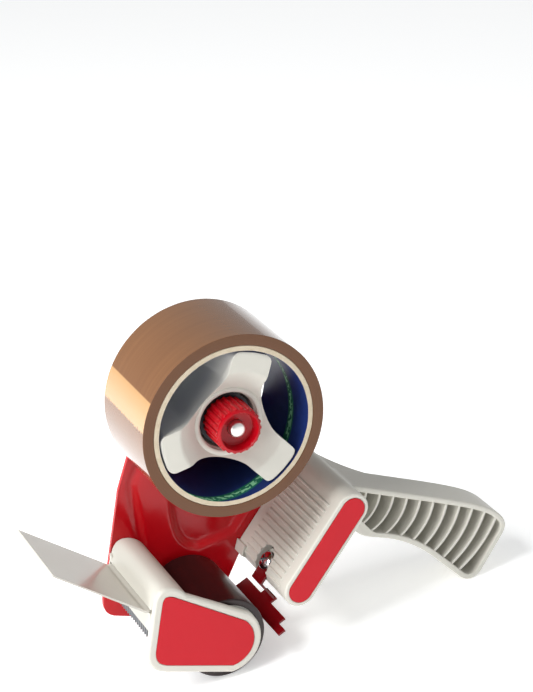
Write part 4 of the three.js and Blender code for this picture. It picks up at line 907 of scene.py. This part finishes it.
ROLLER_HALF, SLEEVE_WALL = 25.5, 3.0
sleeve_in = ROLLER_RADIUS - SLEEVE_WALL
rim_round = [(ROLLER_RADIUS - 0.8 * (1 - math.sin(a)), -ROLLER_HALF + 0.8 * (1 - math.cos(a)))
             for a in (math.pi / 2 * k / 5 for k in range(6))]
sleeve = lathe([(sleeve_in, -ROLLER_HALF)] + rim_round + [(r, -y) for r, y in reversed(rim_round)]
               + [(sleeve_in, ROLLER_HALF)], ROLLER.x, ROLLER.y, 128)
# Ground nitrile rubber, near black with a warm cast: the grinding leaves fine rings that stretch its highlight
nitrile = material("ground_nitrile_rubber", "#1c0b0b", "#241111", 0.3, spread=0.06, patch=12, grain=1.2, relief=0.02)
tree = nitrile.node_tree
where = add(tree, "ShaderNodeTexCoord").outputs["Object"]
squeezed = add(tree, "ShaderNodeMapping", {"Vector": where, "Scale": (60.0, 2500.0, 60.0)})
rings = add(tree, "ShaderNodeTexNoise", {"Vector": squeezed.outputs["Vector"], "Scale": 1.0, "Detail": 2.0})
ring_bump = add(tree, "ShaderNodeBump", {"Height": rings.outputs["Fac"], "Strength": 0.12, "Distance": 0.0002})
tree.links.new(ring_bump.outputs["Normal"], tree.nodes["Principled BSDF"].inputs["Normal"])
finished(sleeve, "roller_rubber", [nitrile], "roller", "roller_sleeve", slot="black_rubber", sharp=40)

# White polypropylene for the drum and its bushes, straight from the tool
white_poly = material("moulded_polypropylene_white", "#c9c7c0", "#bfbdb5", 0.45, spread=0.05, patch=15, grain=0.6,
                      relief=0.02)
for name in ("roller_drum", "roller_bush_1", "roller_bush_2"):
    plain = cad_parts[name]
    plain.data.materials.clear()
    plain.data.materials.append(white_poly)

end = [(3.0, PLATE_OUT + 0.3), (5.2, PLATE_OUT + 0.3)]
end += [(5.2 * math.cos(a), PLATE_OUT + 0.5 + 1.9 * math.sin(a)) for a in (math.pi / 2 * k / 8 for k in range(1, 8))]
axle_rod = lathe([(0, COVER_IN - 0.7), (2.5, COVER_IN - 0.7), (3, COVER_IN - 0.2)] + end + [(0, PLATE_OUT + 2.4)],
                 ROLLER.x, ROLLER.y, 48)
finished(axle_rod, "roller_axle_riveted", [zinc], "frame", "roller_axle", slot="steel")

# ---------------------------------------------------------------- hub
# The roll's hub, in the same grey ABS: three broad arms from a deep round well, hollow at the back, with a stop
# step on each arm's end that the core comes up against. A felt disc behind it rubs when the brake is tightened.

CORE_BORE, CORE_WALL = 76.2, 2.6
HUB_REACH, HUB_ARM, HUB_WAIST = CORE_BORE / 2 - 0.7, 10.2, 18.0
HUB_AIM = 76.2
HUB_WALL, HUB_TIP = 2.2, 3.5
KNOB_DIAMETER, BOLT = 23.6, 4.0
WELL_RADIUS = KNOB_DIAMETER / 2 + 2.5
WELL_FRONT, WELL_FLOOR = TAPE_NEAR + 8, TAPE_NEAR + 23
HUB_REAR = TAPE_FAR + 1.6


def arms(reach, half, waist, steps=8):
    """Outline of three arms round the waist, each as wide as its shoe."""
    points = []

    def spot(x, z, step):
        turned = math.radians(HUB_AIM + 120 * step)
        return Vector((x * math.cos(turned) - z * math.sin(turned), x * math.sin(turned) + z * math.cos(turned)))

    def quadratic(a, b, c):
        return [a * (1 - t) ** 2 + b * 2 * t * (1 - t) + c * t * t for t in (k / steps for k in range(steps + 1))]

    edge = math.sqrt(reach ** 2 - half ** 2)
    for i in range(3):
        a, b, c = (spot(x, z, i) for x, z in ((edge - HUB_TIP, -half), (edge, -half), (edge + 0.8, HUB_TIP - half)))
        tip = spot(reach + 0.2, 0, i)
        d, e, f = (spot(x, z, i) for x, z in ((edge + 0.8, half - HUB_TIP), (edge, half), (edge - HUB_TIP, half)))
        g, h = spot(waist + 4, half, i), spot(waist + 0.35, half, i)
        w = spot(waist * 0.5, waist * math.sqrt(3) / 2, i)
        low, join = spot(waist + 0.35, -half, i + 1), spot(waist + 4, -half, i + 1)
        points += quadratic(a, b, c) + quadratic(c, tip, d) + quadratic(d, e, f) + quadratic(g, h, w)
        points += quadratic(w, low, join)
    return joined(points)


def dish(shift, deep):
    """Everything in front of the hub's dished face: low at the well, high on the arms' shoes."""
    return lathe([(0, -60), (60, -60), (60, TAPE_NEAR + shift + 2), (HUB_REACH + 1, TAPE_NEAR + shift + 1.2),
                  (HUB_REACH - 1.5, TAPE_NEAR + shift), (HUB_REACH - 9, TAPE_NEAR + shift),
                  (HUB_REACH - 11, TAPE_NEAR + shift + 0.6),
                  (WELL_RADIUS + deep, WELL_FRONT + shift), (0, WELL_FRONT + shift)], steps=96)


hub = prism(arms(HUB_REACH, HUB_ARM, HUB_WAIST), TAPE_NEAR, HUB_REAR)
combine(hub, "DIFFERENCE", dish(0, 1.5))
inner = prism(arms(HUB_REACH - HUB_WALL, HUB_ARM - HUB_WALL, HUB_WAIST - HUB_WALL), TAPE_NEAR, HUB_REAR + 1)
combine(inner, "DIFFERENCE", dish(2.5, 2.5))
combine(hub, "DIFFERENCE", inner)
stop = prism(arms(CORE_BORE / 2 + CORE_WALL, HUB_ARM - 0.6, HUB_WAIST - 0.6), TAPE_FAR + 0.5, HUB_REAR - 0.1)
combine(stop, "DIFFERENCE", prism(arms(HUB_REACH - 1, HUB_ARM - 1, HUB_WAIST - 1), TAPE_FAR - 1, HUB_REAR + 1))
hub_tail = TAPE_FAR - 5
well = lathe([(0, WELL_FRONT + 0.6), (WELL_RADIUS + 1.4, WELL_FRONT + 0.6), (WELL_RADIUS + 2, WELL_FRONT + 1.2),
              (WELL_RADIUS + 2, WELL_FLOOR + 2.5), (BOLT + 4, WELL_FLOOR + 2.5), (BOLT + 4, hub_tail), (0, hub_tail)],
             steps=96)
bore = BOLT + 0.25
well_room = lathe([(0, TAPE_NEAR - 5), (WELL_RADIUS + 0.6, TAPE_NEAR - 5), (WELL_RADIUS + 0.6, WELL_FRONT + 0.6),
                   (WELL_RADIUS, WELL_FRONT + 1.4), (WELL_RADIUS, WELL_FLOOR), (bore, WELL_FLOOR),
                   (bore, TAPE_FAR + 9), (0, TAPE_FAR + 9)], steps=96)
# Rounded lip round the well's mouth, standing a little proud of the dished arms
lip_middle, lip_half = WELL_RADIUS + 1.9, 1.6
lip = lathe([(lip_middle - lip_half, WELL_FRONT + 2)]
            + [(lip_middle - lip_half * math.cos(a), WELL_FRONT - 0.3 - 1.3 * math.sin(a))
               for a in (math.pi * k / 12 for k in range(13))]
            + [(lip_middle + lip_half, WELL_FRONT + 2)], steps=96)
combine(hub, "UNION", stop, well, lip)
combine(hub, "DIFFERENCE", well_room)
soft_edge = hub.modifiers.new("edge", "BEVEL")
soft_edge.width = 0.45
soft_edge.segments = 3
soft_edge.limit_method = "ANGLE"
soft_edge.angle_limit = math.radians(50)
soft_edge.use_clamp_overlap = True
evaluated(hub)
finished(hub, "hub_body", [grey_abs], "hub_body", "hub", slot="grey_plastic", sharp=35)

# Pressed wool felt, fibrous and quite matt. Its dark grey is partly the felt's own colour and partly painted shade for
# the deep shadow behind the hub
felt_and_painted_shade = material("pressed_wool_felt_with_painted_shade", "#5c5a55", "#4d4b46", 0.92, spread=0.05, patch=3, grain=0.4, relief=0.2)
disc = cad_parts["friction_disc"]
disc.data.materials.clear()
disc.data.materials.append(felt_and_painted_shade)

# ---------------------------------------------------------------- core and tape
# A roll of brown parcel tape. The core is spirally wound board, its bore lined with a printed navy paper; the tape
# is clear film wound tight on it, and the brown is its adhesive showing through.

core_out = CORE_BORE / 2 + CORE_WALL
CORE_STEPS = 160


def ragged_ring(inside, outside, y0, y1, wave, name):
    """A ring whose two end faces have a slight waviness, as a cut and wound roll does."""
    bm = bmesh.new()
    rings = []
    profile = [(inside, y0 + 0.15), (inside + 0.15, y0), (outside - 0.2, y0), (outside, y0 + 0.2),
               (outside, y1 - 0.2), (outside - 0.2, y1), (inside + 0.15, y1), (inside, y1 - 0.15)]
    for r, y in profile:
        ring = []
        for k in range(CORE_STEPS):
            a = math.tau * k / CORE_STEPS
            shift = wave * (math.sin(7 * a + 0.7) + 0.6 * math.sin(17 * a + 2.1) + 0.5 * math.sin(31 * a)) / 2
            inward = abs(shift) if y < 0 else -abs(shift)
            ring.append(bm.verts.new((r * math.cos(a), y + inward, r * math.sin(a))))
        rings.append(ring)
    for a, b in zip(rings, rings[1:] + rings[:1]):
        for k in range(CORE_STEPS):
            bm.faces.new((a[k - 1], a[k], b[k], b[k - 1]))
    return as_object(bm, name)


core = ragged_ring(CORE_BORE / 2, core_out, TAPE_NEAR, TAPE_FAR, 0.15, "core")
for face in core.data.polygons:
    radial = math.hypot(face.center.x, face.center.z)
    face.material_index = 1 if radial < CORE_BORE / 2 + 0.12 else 0

# Grey chipboard, cut: cream with darker flecks, and rings where its plies meet
board = material("wound_chipboard_cut_edge", "#d8ccb8", "#c2b294", 0.85, spread=0.05, patch=2.5, grain=0.5, relief=0.15)
# Navy ink on coated liner paper, with one green stripe wound along it and small pale dabs of print in the stripe
liner = material("printed_liner_navy", "#1a2c62", "#14224e", 0.36, spread=0.06, patch=20, grain=0.8, relief=0.02,
                 gloss_level=0.18)
tree = liner.node_tree
LINER_PITCH = 0.0093
STRIPE_HALF = 0.0028
where = add(tree, "ShaderNodeTexCoord").outputs["Object"]
centred = add(tree, "ShaderNodeMapping", {"Vector": where, "Location": (-spindle.x, 0.0, -spindle.z)})
parts = add(tree, "ShaderNodeSeparateXYZ", {"Vector": centred.outputs["Vector"]})
angle = add(tree, "ShaderNodeMath", {0: parts.outputs["Z"], 1: parts.outputs["X"]}, operation="ARCTAN2")
wound = add(tree, "ShaderNodeMath", {0: angle.outputs[0], 1: -LINER_PITCH, 2: parts.outputs["Y"]},
            operation="MULTIPLY_ADD")
placed = add(tree, "ShaderNodeMath", {0: wound.outputs[0], 1: 0.0366}, operation="ADD")
bands = add(tree, "ShaderNodeMath", {0: placed.outputs[0], 1: LINER_PITCH * math.pi}, operation="PINGPONG")
stripe_from = LINER_PITCH * math.pi - STRIPE_HALF
stripe = add(tree, "ShaderNodeMapRange", {"Value": bands.outputs[0], "From Min": stripe_from - 0.0002,
                                         "From Max": stripe_from})
dabs = add(tree, "ShaderNodeTexNoise", {"Vector": where, "Scale": 620.0, "Detail": 0.0})
inside = add(tree, "ShaderNodeMapRange", {"Value": bands.outputs[0], "From Min": stripe_from + 0.001,
                                         "From Max": stripe_from + 0.0012})
sharp = add(tree, "ShaderNodeMapRange", {"Value": dabs.outputs["Fac"], "From Min": 0.5, "From Max": 0.54})
marks = add(tree, "ShaderNodeMath", {0: inside.outputs["Result"], 1: sharp.outputs["Result"]},
            operation="MULTIPLY")
printed = add(tree, "ShaderNodeMix", {"Factor": stripe.outputs["Result"]}, data_type="RGBA")
printed.inputs["A"].default_value = colour("#1a2c66")
printed.inputs["B"].default_value = colour("#1d6b52")
marked = add(tree, "ShaderNodeMix", {"Factor": marks.outputs[0]}, data_type="RGBA")
tree.links.new(printed.outputs["Result"], marked.inputs["A"])
marked.inputs["B"].default_value = colour("#8fd0a4")
tree.links.new(marked.outputs["Result"], tree.nodes["Principled BSDF"].inputs["Base Color"])
finished(core, "tape_core_board", [board, liner], "roll", "tape_core", slot="core_board", sharp=60)

WOUND = 5.6
tape = ragged_ring(core_out + 0.15, core_out + WOUND - 0.02, TAPE_NEAR, TAPE_FAR, 0.06, "tape")
for face in tape.data.polygons:
    face.material_index = 1 if abs(face.normal.y) > 0.7 else 0
# Biaxially stretched film with brown adhesive: glossy, with long soft streaks round the roll where it was wound
film = material("wound_parcel_tape_brown", "#8b6848", "#7f5d3f", 0.16, spread=0.04, patch=26, grain=2.0, relief=0.008,
                coat=0.7)
tree = film.node_tree
where = add(tree, "ShaderNodeTexCoord").outputs["Object"]
squeezed = add(tree, "ShaderNodeMapping", {"Vector": where, "Scale": (14.0, 420.0, 14.0)})
streaks = add(tree, "ShaderNodeTexNoise", {"Vector": squeezed.outputs["Vector"], "Scale": 1.0, "Detail": 3.0})
tone = add(tree, "ShaderNodeMix", {"Factor": streaks.outputs["Fac"]}, data_type="RGBA")
tone.inputs["A"].default_value = colour("#734b2b")
tone.inputs["B"].default_value = colour("#875b36")
# The tail, where a single loose layer lies lighter on the roll: one straight edge and one torn one
centred = add(tree, "ShaderNodeMapping", {"Vector": where, "Location": (-spindle.x, 0.0, -spindle.z)})
parts = add(tree, "ShaderNodeSeparateXYZ", {"Vector": centred.outputs["Vector"]})
angle = add(tree, "ShaderNodeMath", {0: parts.outputs["Z"], 1: parts.outputs["X"]}, operation="ARCTAN2")
tear = add(tree, "ShaderNodeTexNoise", {"W": parts.outputs["Y"], "Scale": 900.0, "Detail": 4.0},
           noise_dimensions="1D")
torn = add(tree, "ShaderNodeMath", {0: tear.outputs["Fac"], 1: 0.09, 2: angle.outputs[0]},
           operation="MULTIPLY_ADD")
after = add(tree, "ShaderNodeMapRange", {"Value": angle.outputs[0], "From Min": math.radians(148.5),
                                        "From Max": math.radians(149.2)})
before = add(tree, "ShaderNodeMapRange", {"Value": torn.outputs[0], "From Min": math.radians(170.0),
                                         "From Max": math.radians(170.6), "To Min": 1.0, "To Max": 0.0})
tail = add(tree, "ShaderNodeMath", {0: after.outputs["Result"], 1: before.outputs["Result"]},
           operation="MULTIPLY")
loose = add(tree, "ShaderNodeMix", {"Factor": tail.outputs[0]}, data_type="RGBA")
tree.links.new(tone.outputs["Result"], loose.inputs["A"])
loose.inputs["B"].default_value = colour("#c79a68")
tree.links.new(loose.outputs["Result"], tree.nodes["Principled BSDF"].inputs["Base Color"])
# The wound edge: hundreds of layers, seen as fine rings, duller and darker than the face
edge_film = material("wound_tape_edge", "#6f5239", "#62472f", 0.5, spread=0.05, patch=9, grain=0.6, relief=0.02)
tree = edge_film.node_tree
where = add(tree, "ShaderNodeTexCoord").outputs["Object"]
centred = add(tree, "ShaderNodeMapping", {"Vector": where, "Location": (-spindle.x, 0.0, -spindle.z)})
parts = add(tree, "ShaderNodeSeparateXYZ", {"Vector": centred.outputs["Vector"]})
flat = add(tree, "ShaderNodeCombineXYZ", {"X": parts.outputs["X"], "Z": parts.outputs["Z"]})
radius = add(tree, "ShaderNodeVectorMath", {0: flat.outputs[0]}, operation="LENGTH")
plies = add(tree, "ShaderNodeTexNoise", {"W": radius.outputs["Value"], "Scale": 2600.0, "Detail": 2.0},
            noise_dimensions="1D")
ply_tone = add(tree, "ShaderNodeMix", {"Factor": plies.outputs["Fac"]}, data_type="RGBA")
ply_tone.inputs["A"].default_value = colour("#543419")
ply_tone.inputs["B"].default_value = colour("#74492a")
tree.links.new(ply_tone.outputs["Result"], tree.nodes["Principled BSDF"].inputs["Base Color"])
finished(tape, "tape_roll_wound", [film, edge_film], "roll", "tape_winding", slot="brown_tape", sharp=60)

# ---------------------------------------------------------------- spindle bolt, nut and washers
# A steel bolt through the pressed pan, locked to it with a nut and a backing washer, carries the hub. Its plain
# end stands out of the brake knob.

PAN_OUT = PLATE_IN + PAN_DEPTH + SHEET
HEX = 7.5
head_from = PAN_OUT + 0.3


def hexagon(radius, y0, y1, crown=0.0):
    corners = [Vector((radius * math.cos(a), radius * math.sin(a))) for a in (math.tau * k / 6 for k in range(6))]
    nut = prism(corners, y0, y1)
    if crown:
        cap = lathe([(0, y0 - 1), (radius + 1, y0 - 1), (radius + 1, y1 - crown), (radius * 0.86, y1), (0, y1)],
                    steps=48)
        combine(nut, "INTERSECT", cap)
    return nut


knob_near = TAPE_NEAR - 6
rod_end = [(0, knob_near + 1.2)] + [((BOLT - 0.1) * math.sin(a), knob_near + 3.0 - 1.8 * math.cos(a) ** 0.7)
                                    for a in (math.pi / 2 * k / 7 for k in range(1, 8))]
bolt = lathe(rod_end + [(BOLT, knob_near + 3.2), (BOLT, head_from + 1), (0, head_from + 1)], steps=48)
combine(bolt, "UNION", hexagon(HEX, head_from, head_from + 4.2, crown=1.0))
finished(bolt, "spindle_bolt_steel", [nickel], "frame", "spindle_bolt", slot="steel")
# The washers and the nut are left black from the furnace, and oiled
phosphated = material("phosphated_steel", "#4a4a4d", "#3b3b3e", 0.5, spread=0.08, patch=3, grain=0.4, relief=0.04,
                      metallic=1.0)
for name in ("spindle_nut", "backing_washer", "brake_washer"):
    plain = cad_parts[name]
    plain.data.materials.clear()
    plain.data.materials.append(phosphated)

# ---------------------------------------------------------------- brake spring
# A short compression spring in the hub's well, coiled from round wire and closed at both ends.

WIRE, COIL_RADIUS, COIL_TURNS = 0.7, 8.0, 3.5
KNOB_FAR = TAPE_NEAR + 10.5
spring_near = KNOB_FAR + 0.3 + 1.2 + 0.3 + WIRE
spring_far = WELL_FLOOR - 0.3 - WIRE
bm = bmesh.new()
WIRE_SIDES, COIL_STEPS = 12, 180
loops = []
for k in range(COIL_STEPS + 1):
    t = k / COIL_STEPS
    a = t * COIL_TURNS * math.tau
    out = Vector((math.cos(a), 0, math.sin(a)))
    centre = out * COIL_RADIUS + Vector((0, spring_near + t * (spring_far - spring_near), 0))
    loops.append([bm.verts.new(centre + out * (WIRE * math.cos(b)) + Vector((0, WIRE * math.sin(b), 0)))
                  for b in (math.tau * s / WIRE_SIDES for s in range(WIRE_SIDES))])
for a, b in zip(loops, loops[1:]):
    for s in range(WIRE_SIDES):
        bm.faces.new((a[s - 1], a[s], b[s], b[s - 1]))
bm.faces.new(loops[0])
bm.faces.new(loops[-1])
# Drawn spring wire: smooth and bright, with dull drawing lines along it
spring_wire = material("drawn_spring_steel", "#a8abb0", "#8f9398", 0.25, spread=0.06, patch=2, grain=0.3, relief=0.02,
                       metallic=1.0)
finished(as_object(bm), "brake_spring_coil", [spring_wire], "brake_slider", "brake_spring", slot="steel", sharp=50)

# ---------------------------------------------------------------- brake knob
# A fluted cup in glossy red plastic that screws along the bolt: turning it in squeezes the spring and brakes the
# roll. Fine round-topped flutes stand all round it, and its rim is thin.

FLUTES = 22
knob_radius = KNOB_DIAMETER / 2
body_radius = knob_radius - 0.7
knob = lathe([(0, knob_near + 5.5), (knob_radius - 4.2, knob_near + 5.5), (knob_radius - 3.2, knob_near + 4.8),
              (knob_radius - 2.5, knob_near + 0.5), (knob_radius - 2.2, knob_near), (body_radius - 0.9, knob_near),
              (body_radius - 0.2, knob_near + 0.5), (body_radius, knob_near + 1.4), (body_radius, KNOB_FAR - 0.3),
              (body_radius - 0.3, KNOB_FAR), (knob_radius - 2.6, KNOB_FAR), (knob_radius - 2.6, knob_near + 8),
              (BOLT + 2.5, knob_near + 8), (BOLT + 2.5, KNOB_FAR), (0, KNOB_FAR)], steps=88)
half_flute = math.pi * body_radius / FLUTES * 0.62
flute_outline = [Vector((body_radius - 0.4, -half_flute))]
flute_outline += [Vector((body_radius - 0.1 + 0.78 * math.sin(a), -half_flute * math.cos(a)))
                  for a in (math.pi * k / 8 for k in range(9))]
flute_outline += [Vector((body_radius - 0.4, half_flute))]
flute = prism(flute_outline, knob_near + 1.0, KNOB_FAR - 0.2, near=0.6, far=0.3, steps=3)
flutes = copies(FLUTES, flute, swing=math.tau / FLUTES)
combine(knob, "UNION", flutes)
combine(knob, "DIFFERENCE", lathe([(0, -60), (BOLT + 0.15, -60), (BOLT + 0.15, 60), (0, 60)], steps=48))
# Glossy red polypropylene: bright and slightly translucent, so its edges glow a lighter red
knob_red = material("moulded_polypropylene_red", "#b40818", "#a60716", 0.16, spread=0.05, patch=8, grain=0.8,
                    relief=0.01, gloss_level=0.3)
shader = knob_red.node_tree.nodes["Principled BSDF"]
shader.inputs["Subsurface Weight"].default_value = 0.12
shader.inputs["Subsurface Radius"].default_value = (1.0, 0.1, 0.08)
shader.inputs["Subsurface Scale"].default_value = 0.0015
finished(knob, "brake_knob_fluted", [knob_red], "knob", "brake_knob", slot="red_plastic", sharp=38)
